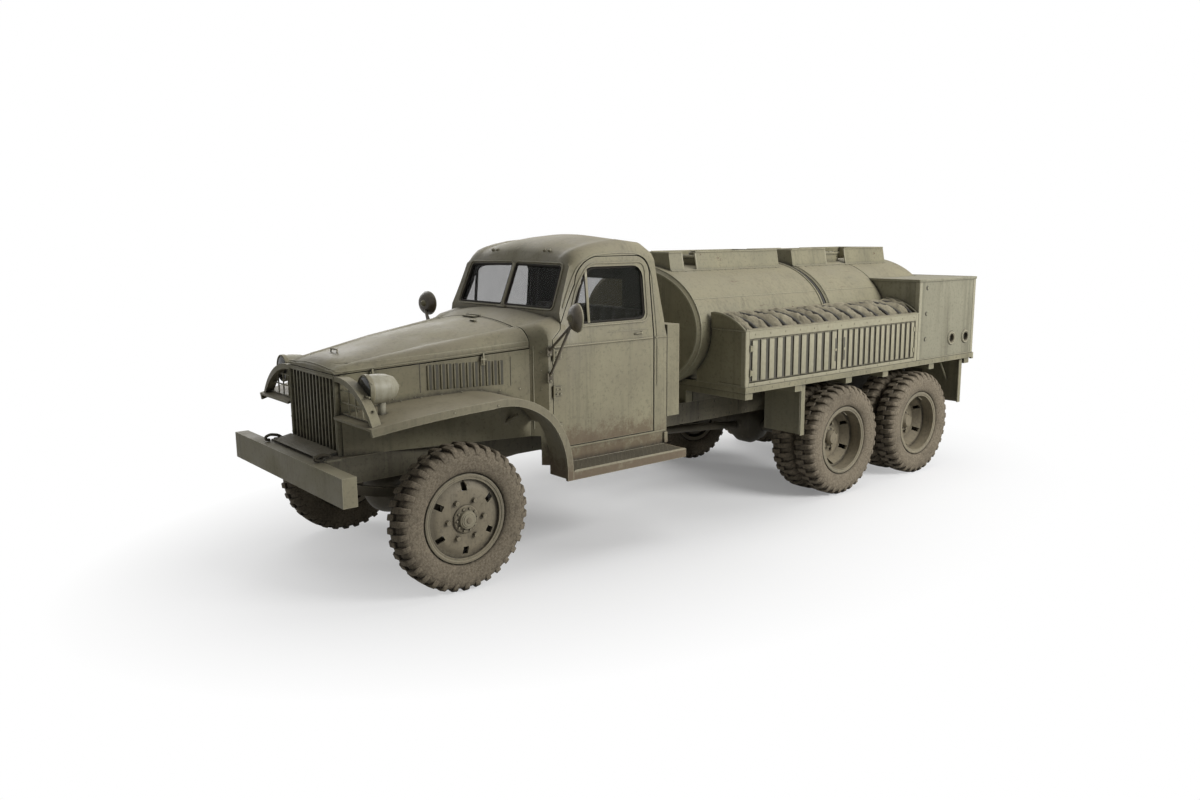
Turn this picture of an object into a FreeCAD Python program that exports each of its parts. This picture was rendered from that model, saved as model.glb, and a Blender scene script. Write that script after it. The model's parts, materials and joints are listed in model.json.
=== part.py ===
"""A six-wheel-drive tanker truck, in millimetres, as a parametric document.

+X is the truck's left, +Y points to its rear and +Z up. The origin is on the ground, midway between the
front of the bumper and the rear of the deck, on the centre line. Left-hand pieces are made at +X and
mirrored to -X.
"""
import FreeCAD, Part
import math
import os

import Sketcher  # noqa: F401  makes Sketcher's objects known to the document

Vector = FreeCAD.Vector
Rotation = FreeCAD.Rotation
Placement = FreeCAD.Placement

# ---------------------------------------------------------------------------------------------
# Driving dimensions: alias, value in mm (or degrees where it says so), what it is
# ---------------------------------------------------------------------------------------------
SIZES = [
    ("overall_length", 6360, "front of bumper to rear of deck"),
    ("front_overhang", 770, "front of bumper to front axle"),
    ("wheelbase", 4166, "front axle to the middle of the rear bogie"),
    ("bogie_spacing", 1118, "between the two rear axles"),
    ("tyre_radius", 465, "outer radius of every tyre, and height of every axle"),
    ("tyre_width", 205, "section width of a tyre"),
    ("rim_radius", 284, "outer radius of the rim flange"),
    ("front_track", 1680, "between the front tyres' middles"),
    ("rear_track", 1730, "between the middles of the twin tyres"),
    ("twin_spacing", 240, "between the two tyres of a pair"),
    ("bumper_width", 1742, "bumper, end to end"),
    ("bumper_height", 176, "bumper face"),
    ("bumper_depth", 90, "bumper flanges, front to back"),
    ("bumper_wall", 10, "bumper plate"),
    ("frame_width", 864, "over the outsides of the frame rails"),
    ("frame_top", 850, "ground to the top of the frame rails"),
    ("rail_height", 170, "frame rail section"),
    ("rail_flange", 65, "frame rail section"),
    ("rail_wall", 8, "frame rail plate"),
    ("grille_width", 720, "radiator grille"),
    ("grille_top", 1352, "ground to the top of the grille"),
    ("grille_setback", 212, "front of bumper to the grille"),
    ("grille_bars", 12, "vertical bars, a number"),
    ("hood_length", 1239, "grille to cowl"),
    ("cab_width", 1504, "over the doors"),
    ("cab_length", 1167, "cowl front to the rear wall"),
    ("cab_wall", 40, "whole thickness of the cab's walls and doors"),
    ("cab_height", 2190, "ground to the top of the roof"),
    ("belt_height", 1450, "ground to the line where the cab's sides start to lean in"),
    ("sill_height", 650, "ground to the bottom of the cab"),
    ("door_bottom", 755, "ground to the bottom of the doors"),
    ("door_gap", 6, "round the doors"),
    ("door_rear_gap", 12, "at the doors' rear edge, where a leaning door swings past"),
    ("board_width", 1986, "over the running boards"),
    ("board_height", 650, "ground to the top of the running boards"),
    ("board_thick", 60, "running board edge"),
    ("fender_crest", 1188, "ground to the highest line of the front fenders"),
    ("fender_sheet", 15, "front fender panel"),
    ("fender_lip", 48, "rolled outer edge of the front fenders"),
    ("tank_half_width", 708, "half the tank's ellipse across"),
    ("tank_half_height", 496, "half the tank's ellipse upright"),
    ("tank_axis_height", 1441, "ground to the tank's axis"),
    ("tank_front", 2999, "front of bumper to the tank's front head"),
    ("tank_length", 3160, "both tanks, head to head"),
    ("tank_split", 1574, "tank front to the gap between the two tanks"),
    ("deck_width", 2150, "over the deck's side rails"),
    ("deck_top", 1043, "ground to the top of the deck rails"),
    ("deck_rail", 43, "deck rail section, upright"),
    ("deck_front", 3125, "front of bumper to the front of the deck"),
    ("locker_height", 427, "side locker, deck to its top"),
    ("locker_wall", 12, "side locker plate"),
    ("cabinet_length", 959, "rear cabinet, front to back"),
    ("cabinet_height", 722, "rear cabinet, deck to its top"),
    ("cabinet_wall", 14, "rear cabinet plate"),
    ("coaming_height", 2040, "ground to the top of the coamings on the tanks"),
    ("hatch_radius", 215, "manhole lid"),
    ("shaft_clearance", 0.08, "between a shaft or hub and what turns on it, radial"),
    ("seat_clearance", 0.3, "between pieces that rest against each other"),
    ("hinge_radius", 9, "barrels of the doors' and hood's hinges"),
    ("small_hinge_radius", 6, "barrels of the lockers' and cabinet's hinges"),
    ("moving_gap", 8, "between a lid or hatch and what surrounds it"),
    ("steering_wheel_radius", 215, "middle of the steering wheel's rim"),
]

doc = FreeCAD.newDocument("tanker_truck")
sheet = doc.addObject("Spreadsheet::Sheet", "sizes")
for row, (alias, value, note) in enumerate(SIZES, 1):
    sheet.set(f"A{row}", alias)
    sheet.set(f"B{row}", str(value))
    sheet.setAlias(f"B{row}", alias)
    sheet.set(f"C{row}", note)
doc.recompute()


class Sizes:
    """The sheet's values, read by alias."""

    def __getattr__(self, alias):
        return float(sheet.get(alias))


S = Sizes()

# places that follow from the driving dimensions
FRONT_Y = -S.overall_length / 2
REAR_Y = S.overall_length / 2
AXLE_F = FRONT_Y + S.front_overhang
AXLE_R1 = AXLE_F + S.wheelbase - S.bogie_spacing / 2
AXLE_R2 = AXLE_R1 + S.bogie_spacing
GRILLE_Y = FRONT_Y + S.grille_setback
COWL_Y = GRILLE_Y + S.hood_length
CAB_REAR = COWL_Y + S.cab_length
RAIL_X = S.frame_width / 2
RAIL_BOTTOM = S.frame_top - S.rail_height
CAB_X = S.cab_width / 2
TANK_Y = FRONT_Y + S.tank_front
DECK_Y = FRONT_Y + S.deck_front
DECK_X = S.deck_width / 2
DECK_BOTTOM = S.deck_top - S.deck_rail
LOCKER_TOP = S.deck_top + S.locker_height
CABINET_Y = REAR_Y - S.cabinet_length

# ---------------------------------------------------------------------------------------------
# Helpers
# ---------------------------------------------------------------------------------------------
NODES = []  # the finished objects, one per file
counter = [0]


def fresh(stem):
    """A new internal name."""
    counter[0] += 1
    return f"{stem}_{counter[0]}"


def bind(obj, **sizes):
    """Sets each property to a number, or binds it to the sheet where it is given as text."""
    for prop, value in sizes.items():
        if isinstance(value, str):
            obj.setExpression(prop, value)
        else:
            setattr(obj, prop, value)
    return obj


def box(lx, ly, lz, at):
    """A box with its lowest corner at a point."""
    obj = bind(doc.addObject("Part::Box", fresh("box")), Length=lx, Width=ly, Height=lz)
    obj.Placement.Base = Vector(*at)
    return obj


AXES = {"x": Rotation(Vector(0, 1, 0), 90), "y": Rotation(Vector(1, 0, 0), -90), "z": Rotation()}


def cylinder(radius, length, at, axis="z"):
    """A cylinder that starts at a point and runs along an axis, a key of AXES or a vector."""
    obj = bind(doc.addObject("Part::Cylinder", fresh("cylinder")), Radius=radius, Height=length)
    turn = AXES[axis] if isinstance(axis, str) else Rotation(Vector(0, 0, 1), Vector(*axis))
    obj.Placement = Placement(Vector(*at), turn)
    return obj


def fuse(*shapes):
    obj = doc.addObject("Part::MultiFuse", fresh("fuse"))
    obj.Shapes = list(shapes)
    return obj


def cut(base, *tools):
    obj = doc.addObject("Part::Cut", fresh("cut"))
    obj.Base = base
    obj.Tool = tools[0] if len(tools) == 1 else fuse(*tools)
    return obj


def common(*shapes):
    obj = doc.addObject("Part::MultiCommon", fresh("common"))
    obj.Shapes = list(shapes)
    return obj


def mirror(source):
    """The copy of a piece on the truck's other side."""
    obj = doc.addObject("Part::Mirroring", fresh("mirror"))
    obj.Source = source
    obj.Normal = Vector(1, 0, 0)
    obj.Base = Vector(0, 0, 0)
    return obj


def both(source):
    """A piece and its mirror copy, as solids that don't touch."""
    obj = doc.addObject("Part::Compound", fresh("pair"))
    obj.Links = [source, mirror(source)]
    return obj


def group(*shapes):
    """Solids that don't touch, in one node."""
    obj = doc.addObject("Part::Compound", fresh("group"))
    obj.Links = list(shapes)
    return obj


def made(shape, stem="made"):
    """A shape that Part's own functions made."""
    obj = doc.addObject("Part::Feature", fresh(stem))
    obj.Shape = shape
    return obj


def outline_edges(outline):
    """Edges of a closed outline. Each entry is a corner to go to in a line, or a pair of points, a
    point on the arc and the arc's end."""
    edges = []
    start = at = Vector(*outline[0], 0)
    for step in outline[1:]:
        if isinstance(step[0], tuple):
            through, end = (Vector(*p, 0) for p in step)
            edges.append(Part.Arc(at, through, end))
        else:
            end = Vector(*step, 0)
            edges.append(Part.LineSegment(at, end))
        at = end
    if (at - start).Length > 1e-6:
        edges.append(Part.LineSegment(at, start))
    return edges


# which origin plane a sketch lies on, and how its own x and y run: "yz" is drawn as (y, z)
PLANES = {"xy": "XY_Plane", "xz": "XZ_Plane", "yz": "YZ_Plane"}


def body_with_sketch(plane, outline):
    body = doc.addObject("PartDesign::Body", fresh("body"))
    sketch = body.newObject("Sketcher::SketchObject", fresh("sketch"))
    origin = [f for f in body.Origin.OriginFeatures if f.Role == PLANES[plane]][0]
    sketch.AttachmentSupport = (origin, [""])
    sketch.MapMode = "FlatFace"
    for edge in outline_edges(outline):
        sketch.addGeometry(edge, False)
    return body, sketch


def plate(plane, outline, thick, start=0.0):
    """An outline on a plane, padded by a thickness. start is where the plate begins along the plane's
    normal: +Z for xy, +X for yz and +Y for xz."""
    body, sketch = body_with_sketch(plane, outline)
    pad = body.newObject("PartDesign::Pad", fresh("pad"))
    pad.Profile = sketch
    bind(pad, Length=thick)
    sketch.Visibility = False
    if plane == "xz":  # that plane's normal is -Y
        pad.Reversed = True
    normal = {"xy": Vector(0, 0, 1), "yz": Vector(1, 0, 0), "xz": Vector(0, 1, 0)}[plane]
    body.Placement.Base = normal * start
    return body


def turned(outline, at, axis="x"):
    """An outline of (along the axis, radius) points turned about the axis through a point."""
    body, sketch = body_with_sketch("xy", outline)
    revolution = body.newObject("PartDesign::Revolution", fresh("revolution"))
    revolution.Profile = sketch
    revolution.ReferenceAxis = (sketch, ["H_Axis"])
    revolution.Angle = 360
    turn = {"x": Rotation(), "y": Rotation(Vector(0, 0, 1), 90), "z": Rotation(Vector(0, 1, 0), -90)}
    body.Placement = Placement(Vector(*at), turn[axis])
    return body


def node(name, obj):
    """Names a finished piece."""
    obj.Label = name
    NODES.append((name, obj))
    return obj


def loft(wires):
    return Part.makeLoft(wires, True, True)


def wire_at(y, outline):
    """A closed wire in the upright cross plane at y, from (x, z) points."""
    place = Placement(Vector(0, y, 0), Rotation(Vector(1, 0, 0), 90))
    edges = [e.toShape() for e in outline_edges(outline)]
    wire = Part.Wire(edges)
    wire.Placement = place
    return wire


def yz_prism(outline, x0, x1):
    face = Part.Face(Part.Wire([e.toShape() for e in outline_edges(outline)]))
    face.rotate(Vector(0, 0, 0), Vector(1, 1, 1), 120)
    face.translate(Vector(x0, 0, 0))
    return face.extrude(Vector(x1 - x0, 0, 0))


def ellipse_solid(half_width, half_height, y0, y1):
    """A solid of elliptic section about the tank's axis."""
    centre = Vector(0, y0, S.tank_axis_height)
    wide = Vector(half_width, 0, 0)
    tall = Vector(0, 0, half_height)
    if half_width >= half_height:
        curve = Part.Ellipse(centre + wide, centre + tall, centre)
    else:
        curve = Part.Ellipse(centre + tall, centre - wide, centre)
    face = Part.Face(Part.Wire([curve.toShape()]))
    return face.extrude(Vector(0, y1 - y0, 0))


def tank_relief(clearance, y0, y1):
    """What is cut from a piece so that it clears the tank."""
    return made(ellipse_solid(S.tank_half_width + clearance, S.tank_half_height + clearance, y0, y1))


# ---------------------------------------------------------------------------------------------
# Frame, bumper, axles and springs
# ---------------------------------------------------------------------------------------------
PINTLE_AT = 6262  # rear face of the last cross member, behind the bumper's front
# cross members: distance behind the bumper's front, depth front to back, height of the section
CROSS_MEMBERS = [
    (90, 60, 120),
    (270, 90, 80),
    (800, 100, 90),
    (1470, 90, 120),
    (2250, 90, 120),
    (3050, 90, 120),
    (4180, 90, 120),
    (4890, 90, 120),
    (PINTLE_AT - 90, 90, 120),
]
RAIL_REAR = REAR_Y - 40
TRUNNION_Z = 600.0
REAR_SPRING_X = RAIL_X + 12


def frame_rails():
    length = RAIL_REAR - (FRONT_Y + S.bumper_depth)
    start = FRONT_Y + S.bumper_depth
    outer = box("sizes.rail_flange", length, "sizes.rail_height", (RAIL_X - S.rail_flange, start, RAIL_BOTTOM))
    hollow = box(
        "sizes.rail_flange - sizes.rail_wall",
        length + 2,
        "sizes.rail_height - 2 * sizes.rail_wall",
        (RAIL_X - S.rail_flange, start - 1, RAIL_BOTTOM + S.rail_wall),
    )
    rail = cut(outer, hollow)
    rail.Label = "frame rail"
    node("frame_rails", both(rail))


def tow_pintle():
    """Rear towing eye on the frame's last cross member."""
    y = FRONT_Y + PINTLE_AT
    base = box(160, 14, 110, (-80, y, S.frame_top - S.rail_wall - 115))
    eye = cut(
        cylinder(44, 34, (0, y + 52, S.frame_top - 80), "z"),
        cylinder(22, 60, (0, y + 52, S.frame_top - 90), "z"),
    )
    return fuse(base, eye)


def bogie_trunnion():
    """The cross shaft that the bogie's springs rock on, with its brackets up to the rails."""
    middle = (AXLE_R1 + AXLE_R2) / 2
    reach = REAR_SPRING_X - S.seat_clearance
    shaft = cylinder(50, 2 * reach, (-reach, middle, TRUNNION_Z), "x")
    brackets = []
    for side in (-1, 1):
        x = side * (RAIL_X - S.rail_flange / 2)
        height = RAIL_BOTTOM - S.seat_clearance - TRUNNION_Z
        brackets.append(box("sizes.rail_flange", 180, height, (x - S.rail_flange / 2, middle - 90, TRUNNION_Z)))
    return fuse(shaft, *brackets)


def cross_members():
    """Box sections between the rails' webs."""
    clear = RAIL_X - S.rail_wall
    members = []
    for behind, depth, height in CROSS_MEMBERS:
        height = min(height, S.rail_height - 2 * S.rail_wall)
        top = S.frame_top - S.rail_wall
        members.append(
            box("sizes.frame_width - 2 * sizes.rail_wall", depth, height, (-clear, FRONT_Y + behind, top - height))
        )
    members[-1] = fuse(members[-1], tow_pintle())
    node("cross_members", group(*members, bogie_trunnion()))


def bumper():
    """A channel, open to the rear, with closed ends, on the frame rails' front ends."""
    bottom = S.frame_top - 10 - S.bumper_height
    half = S.bumper_width / 2
    outer = box("sizes.bumper_width", "sizes.bumper_depth", "sizes.bumper_height", (-half, FRONT_Y, bottom))
    inner = box(
        "sizes.bumper_width - 2 * sizes.bumper_wall",
        "sizes.bumper_depth",
        "sizes.bumper_height - 2 * sizes.bumper_wall",
        (-half + S.bumper_wall, FRONT_Y + S.bumper_wall, bottom + S.bumper_wall),
    )
    hooks = []
    for side in (-1, 1):
        x = side * (RAIL_X - S.rail_flange / 2)
        hooks.append(box(70, S.bumper_depth - S.bumper_wall, 150, (x - 35, FRONT_Y + S.bumper_wall, bottom + 13)))
    node("bumper", fuse(cut(outer, inner), *hooks))


KINGPIN_X = S.front_track / 2 - 150
AXLE_TUBE = 52.0
SPINDLE_RADIUS = 45.0
BALL_HALF = 88.0  # half the height of the steering ball
SPRING_WIDTH = 64.0
SPRING_THICK = 62.0


def front_axle():
    """Axle tube with its gear housing to the left of the middle, and the steering yokes at its ends."""
    centre_z = S.tyre_radius
    reach = KINGPIN_X - 62
    tube = cylinder(AXLE_TUBE, 2 * reach, (-reach, AXLE_F, centre_z), "x")
    housing = turned([(-170, 0), (-150, 90), ((0, 175), (150, 90)), (170, 0)], (-100, AXLE_F, centre_z))
    yokes = []
    for side in (-1, 1):
        back = box(20, 110, 230, (side * reach - 10, AXLE_F - 55, centre_z - 115))
        reach_z = BALL_HALF + S.seat_clearance
        for z in (centre_z + reach_z, centre_z - reach_z - 24):
            yokes.append(box(110, 90, 24, (side * (reach + 55) - 55, AXLE_F - 45, z)))
        yokes.append(back)
    seats = []
    for side in (-1, 1):
        x = side * (RAIL_X - S.rail_flange / 2)
        seats.append(box(SPRING_WIDTH, 130, 70, (x - SPRING_WIDTH / 2, AXLE_F - 65, centre_z - 8)))
    node("front_axle", fuse(tube, housing, *yokes, *seats))


def knuckle():
    """Left steering knuckle: ball, king pin and the spindle that carries the wheel."""
    centre = (KINGPIN_X, AXLE_F, S.tyre_radius)
    ball = cylinder(42, 2 * BALL_HALF, (centre[0], centre[1], centre[2] - BALL_HALF), "z")
    spindle = cylinder(SPINDLE_RADIUS, S.front_track / 2 + 60 - KINGPIN_X, centre, "x")
    flange = cylinder(80, 14, (KINGPIN_X + 48, AXLE_F, S.tyre_radius), "x")
    arm = box(30, 150, 24, (KINGPIN_X - 15, AXLE_F + 20, S.tyre_radius - 70))
    return fuse(ball, spindle, flange, arm)


REAR_HOUSING = 185.0
TWIN_HUB_INNER = 110.0  # the twin hub's reach from the middle of its two tyres, inwards
TWIN_HUB_OUTER = 96.0  # and outwards, over its cap
HUB_CAP = 30.0


def rear_axles():
    """Two axles with round gear housings, whose ends carry the twin wheels."""
    tube_reach = S.rear_track / 2 - TWIN_HUB_INNER - 5
    reach = S.rear_track / 2 + TWIN_HUB_OUTER - HUB_CAP - 2
    bulge = [
        (-190, 0), (-190, 60), (-130, 140), (-50, REAR_HOUSING), (50, REAR_HOUSING), (130, 140), (190, 60), (190, 0),
    ]
    shafts = []
    for y in (AXLE_R1, AXLE_R2):
        tube = cylinder(AXLE_TUBE, 2 * tube_reach, (-tube_reach, y, S.tyre_radius), "x")
        ends = cylinder(SPINDLE_RADIUS, 2 * reach, (-reach, y, S.tyre_radius), "x")
        shafts.append(fuse(tube, ends, turned(bulge, (0, y, S.tyre_radius))))
    node("rear_axles", group(*shafts))


def arc_band(y0, z0, y1, z1, y2, z2, thick, x0, width):
    """A curved leaf spring: an arc through three points, with a thickness below it."""
    wire = Part.Wire([Part.Arc(Vector(0, y0, z0), Vector(0, y1, z1), Vector(0, y2, z2)).toShape()])
    lower = Part.Wire(
        [Part.Arc(Vector(0, y0, z0 - thick), Vector(0, y1, z1 - thick), Vector(0, y2, z2 - thick)).toShape()]
    )
    ends = [
        Part.LineSegment(Vector(0, y0, z0), Vector(0, y0, z0 - thick)).toShape(),
        Part.LineSegment(Vector(0, y2, z2), Vector(0, y2, z2 - thick)).toShape(),
    ]
    face = Part.Face(Part.Wire(Part.__sortEdges__(wire.Edges + lower.Edges + ends)))
    face.translate(Vector(x0, 0, 0))
    return made(face.extrude(Vector(width, 0, 0)), "spring")


FRONT_SPRING_REACH = 520.0


def leaf_springs():
    """Front springs under the rails, and the bogie's springs outside them, on a cross shaft."""
    x = RAIL_X - S.rail_flange / 2 - SPRING_WIDTH / 2
    seat_top = S.tyre_radius + 62 + S.seat_clearance
    front = arc_band(
        AXLE_F - FRONT_SPRING_REACH, RAIL_BOTTOM - S.seat_clearance,
        AXLE_F, seat_top + SPRING_THICK,
        AXLE_F + FRONT_SPRING_REACH, RAIL_BOTTOM - S.seat_clearance,
        SPRING_THICK, x, SPRING_WIDTH,
    )
    middle = (AXLE_R1 + AXLE_R2) / 2
    end_z = S.tyre_radius + AXLE_TUBE + SPRING_THICK + S.seat_clearance
    rear = arc_band(
        AXLE_R1, end_z, middle, TRUNNION_Z + 150, AXLE_R2, end_z, SPRING_THICK, REAR_SPRING_X, SPRING_WIDTH + 10
    )
    perch = box(SPRING_WIDTH + 10, 160, 90, (REAR_SPRING_X, middle - 80, TRUNNION_Z))
    hub = cylinder(60, SPRING_WIDTH + 10, (REAR_SPRING_X, middle, TRUNNION_Z), "x")
    rear_whole = fuse(rear, perch, hub)
    node("leaf_springs", group(front, mirror(front), rear_whole, mirror(rear_whole)))


def strut(start, end, radius):
    """A round bar between two points."""
    along = Vector(*end) - Vector(*start)
    return cylinder(radius, along.Length, start, tuple(along))


def driveline():
    """Transfer case under the third cross member, with the shafts to the three axles."""
    y = FRONT_Y + 2250
    top = S.frame_top - S.rail_wall - 120 - S.seat_clearance
    case = box(340, 260, 230, (-230, y - 80, top - 230))
    shaft_z = top - 120
    reach = REAR_HOUSING - 10
    to_front = strut((-100, y - 20, shaft_z), (-100, AXLE_F + 176, S.tyre_radius + 10), 32)
    to_rear = strut((0, y + 100, shaft_z), (0, AXLE_R1 - reach, S.tyre_radius), 32)
    between = strut((0, AXLE_R1 + reach, S.tyre_radius), (0, AXLE_R2 - reach, S.tyre_radius), 32)
    around = REAR_HOUSING + S.seat_clearance
    housings = [cylinder(around, 90, (-45, at, S.tyre_radius), "x") for at in (AXLE_R1, AXLE_R2)]
    node("driveline", group(cut(fuse(case, to_front, to_rear), housings[0]), cut(between, *housings)))


def engine():
    """The engine as one plain block on its cross member."""
    seat = S.frame_top - S.rail_wall
    node("engine", box(420, 780, 420, (-210, AXLE_F - 320, seat)))


def radiator():
    top = S.grille_top - 20
    node("radiator", box("sizes.grille_width - 60", 80, top - (S.frame_top - S.rail_wall),
         (-(S.grille_width - 60) / 2, FRONT_Y + 275, S.frame_top - S.rail_wall)))


def exhaust():
    """Silencer and tail pipe, hung from two cross members."""
    x = -270
    z = S.frame_top - S.rail_wall - 120 - 110
    silencer = cylinder(80, 640, (x, FRONT_Y + 1500, z), "y")
    pipe = cylinder(28, 1750, (x, FRONT_Y + 2100, z), "y")
    hangers = [
        box(40, 60, 110 - S.seat_clearance, (x - 20, FRONT_Y + behind, z)) for behind in (1480 + 25, 3050 + 15)
    ]
    node("exhaust", fuse(silencer, pipe, *hangers))


def fuel_tank():
    """The engine's fuel tank, on the outside of the right rail behind the cab."""
    y0 = CAB_REAR + 230
    outline = [
        (y0, 560), (y0, 800), ((y0 + 12, 828), (y0 + 40, 840)), (y0 + 760, 840),
        ((y0 + 788, 828), (y0 + 800, 800)), (y0 + 800, 560), ((y0 + 788, 532), (y0 + 760, 520)),
        (y0 + 40, 520), ((y0 + 12, 532), (y0, 560)),
    ]
    node("fuel_tank", plate("yz", outline, 330, -(RAIL_X + S.seat_clearance) - 330))


# ---------------------------------------------------------------------------------------------
# Wheels
# ---------------------------------------------------------------------------------------------
RIM_FLANGE = 9.0
RIM_HALF = S.tyre_width / 2 - 30
BEAD = S.rim_radius - 20
HAND_HOLE_AT = 204.0  # from the axle to the middle of a disc's slots
RIM_SEAT = BEAD - S.seat_clearance
RIM_WELL = RIM_SEAT - 14


def tyre(x, y):
    """A tyre with rounded shoulders, whose beads sit between the rim's flanges, about a wheel's middle at x."""
    half = S.tyre_width / 2
    outer = S.tyre_radius
    foot = RIM_HALF - RIM_FLANGE - S.seat_clearance
    lip = S.rim_radius + 2
    waist = (BEAD + outer) / 2 + 8
    outline = [
        (-foot, BEAD), (-foot, lip), (-half + 28, lip + 5), ((-half, waist), (-half + 26, outer - 26)),
        ((-half + 52, outer - 4), (-half + 72, outer)), (half - 72, outer),
        ((half - 52, outer - 4), (half - 26, outer - 26)), ((half, waist), (half - 28, lip + 5)),
        (foot, lip), (foot, BEAD),
    ]
    return turned(outline, (x, y, S.tyre_radius))


def rim_ring(x, y):
    """The rim alone: a drop band with a flange at each side."""
    outline = [
        (-RIM_HALF, RIM_WELL), (RIM_HALF, RIM_WELL), (RIM_HALF, S.rim_radius), (RIM_HALF - RIM_FLANGE, S.rim_radius),
        (RIM_HALF - RIM_FLANGE, RIM_SEAT), (-RIM_HALF + RIM_FLANGE, RIM_SEAT),
        (-RIM_HALF + RIM_FLANGE, S.rim_radius), (-RIM_HALF, S.rim_radius),
    ]
    return turned(outline, (x, y, S.tyre_radius))


def disc(x, y, rim_at, hub_at, side):
    """A dished wheel disc from the rim, at rim_at along the axle, in to the hub, at hub_at."""
    outline = [
        (rim_at, RIM_WELL + 2), (rim_at, RIM_WELL - 18), (hub_at, 190), (hub_at, 60),
        (hub_at - 12, 60), (hub_at - 12, 186), (rim_at - 14, RIM_WELL - 24), (rim_at - 14, RIM_WELL + 2),
    ]
    outline = [(side * a, r) for a, r in outline]
    return turned(outline, (x, y, S.tyre_radius))


def hand_holes(x, y):
    """Six slots through a disc."""
    length, across, radial = 200, 38, 54
    corner = Vector(-length / 2, -across / 2, -radial / 2)
    holes = []
    for k in range(6):
        slot = box(length, across, radial, corner)
        turn = Rotation(Vector(1, 0, 0), 60 * k)
        centre = Vector(x, y, S.tyre_radius) + turn.multVec(Vector(0, 0, HAND_HOLE_AT))
        slot.Placement = Placement(centre + turn.multVec(corner), turn)
        holes.append(slot)
    return holes


def hub(x, y, inner, outer, side):
    """A wheel hub with its bearing bore, and the cap over the axle's end."""
    bore = SPINDLE_RADIUS + S.shaft_clearance
    outline = [
        (inner, bore), (outer - HUB_CAP, bore), (outer - HUB_CAP, 0), (outer, 0), (outer, 46), (outer - 28, 62),
        (outer - 46, 62), (outer - 52, 92), (outer - 110, 100), (inner, 100),
    ]
    outline = [(side * a, r) for a, r in outline]
    return turned(outline, (x, y, S.tyre_radius))


def front_wheel():
    """Left front wheel: tyre, and rim with disc and hub. The disc bulges outwards."""
    x = S.front_track / 2
    node("front_left_tyre", tyre(x, AXLE_F))
    plain = cut(disc(x, AXLE_F, 52, 70, 1), *hand_holes(x, AXLE_F))
    whole = fuse(rim_ring(x, AXLE_F), plain, hub(x, AXLE_F, -40, 112, 1))
    node("front_left_rim", whole)


def rear_wheel(label, y):
    """Left twin wheel: two tyres, and the two rims joined by their discs and hub."""
    middle = S.rear_track / 2
    gap = S.twin_spacing / 2
    node(f"{label}_tyres", group(tyre(middle + gap, y), tyre(middle - gap, y)))
    parts = []
    for x, side in ((middle + gap, -1), (middle - gap, 1)):
        plain = cut(disc(x, y, 52, gap - 1, side), *hand_holes(x, y))
        parts += [rim_ring(x, y), plain]
    whole = fuse(*parts, hub(middle, y, -TWIN_HUB_INNER, TWIN_HUB_OUTER, 1))
    node(f"{label}_rims", whole)


def mirrored_node(name, source_name):
    source = dict(NODES)[source_name]
    node(name, mirror(source))


# ---------------------------------------------------------------------------------------------
# Front sheet metal
# ---------------------------------------------------------------------------------------------
GRILLE_HALF = S.grille_width / 2
HOOD_SHEET = 12.0
SIDE_SHEET = 15.0
# hood sections: distance behind the grille, half width, height of its side edge, of the shoulder, of the crown
HOOD_SECTIONS = [
    (0, GRILLE_HALF + 8, 1358, 1372, 1384),
    (60, GRILLE_HALF + 24, 1362, 1398, 1428),
    (620, 526, 1405, 1492, 1532),
    (S.hood_length - 6, CAB_X - 89, 1448, 1572, 1622),
]


HOOD_HINGE = Vector(0, COWL_Y - S.hinge_radius - S.seat_clearance, HOOD_SECTIONS[-1][4] + 4)


def hood_outline(half, edge, shoulder, crown, inset, deeper):
    half, shoulder, crown = half - inset, shoulder - inset, crown - inset
    edge -= deeper
    flat = half - 0.28 * half
    corner = (half - 0.07 * half, shoulder - 0.20 * (shoulder - edge))
    return [
        (-half, edge), (-half, edge + 0.35 * (shoulder - edge)), ((-corner[0], corner[1]), (-flat, shoulder)),
        ((0, crown), (flat, shoulder)), ((corner[0], corner[1]), (half, edge + 0.35 * (shoulder - edge))), (half, edge),
    ]


def sections_solid(rows, inset, deeper):
    return loft([wire_at(GRILLE_Y + y, hood_outline(half, edge, shoulder, crown, inset, deeper))
                 for y, half, edge, shoulder, crown in rows])


def hood():
    """The engine lid: one sheet, hinged at the cowl."""
    outer = sections_solid(HOOD_SECTIONS, 0, 0)
    rows = [(HOOD_SECTIONS[0][0] + HOOD_SHEET, *HOOD_SECTIONS[0][1:])] + HOOD_SECTIONS[1:-1]
    last = HOOD_SECTIONS[-1]
    rows.append((last[0] + 1, *last[1:]))
    inner = sections_solid(rows, HOOD_SHEET, 40)
    barrel = cylinder("sizes.hinge_radius", 160, (-80, HOOD_HINGE.y, HOOD_HINGE.z), "x")
    leaf = box(150, 50, 9, (-75, HOOD_HINGE.y - 50, HOOD_HINGE.z - 8))
    node("hood", fuse(made(outer.cut(inner)), barrel, leaf))


def side_panel_x(y):
    """Outer face of the engine's side panel at y."""
    share = (y - GRILLE_Y) / S.hood_length
    return GRILLE_HALF + 6 + share * (CAB_X - 89 - GRILLE_HALF - 6)


def hood_sides():
    """The fixed panels between the hood, the fenders and the frame, louvred by scene."""
    y0, y1 = GRILLE_Y + 30, COWL_Y - 1
    wires = []
    for y in (y0, y1):
        x = side_panel_x(y)
        share = (y - GRILLE_Y) / S.hood_length
        top = 1358 + share * (1448 - 1358) - S.moving_gap
        wires.append(wire_at(y, [(x - SIDE_SHEET, S.frame_top), (x, S.frame_top), (x, top), (x - SIDE_SHEET, top)]))
    node("hood_sides", both(made(loft(wires))))


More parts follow.
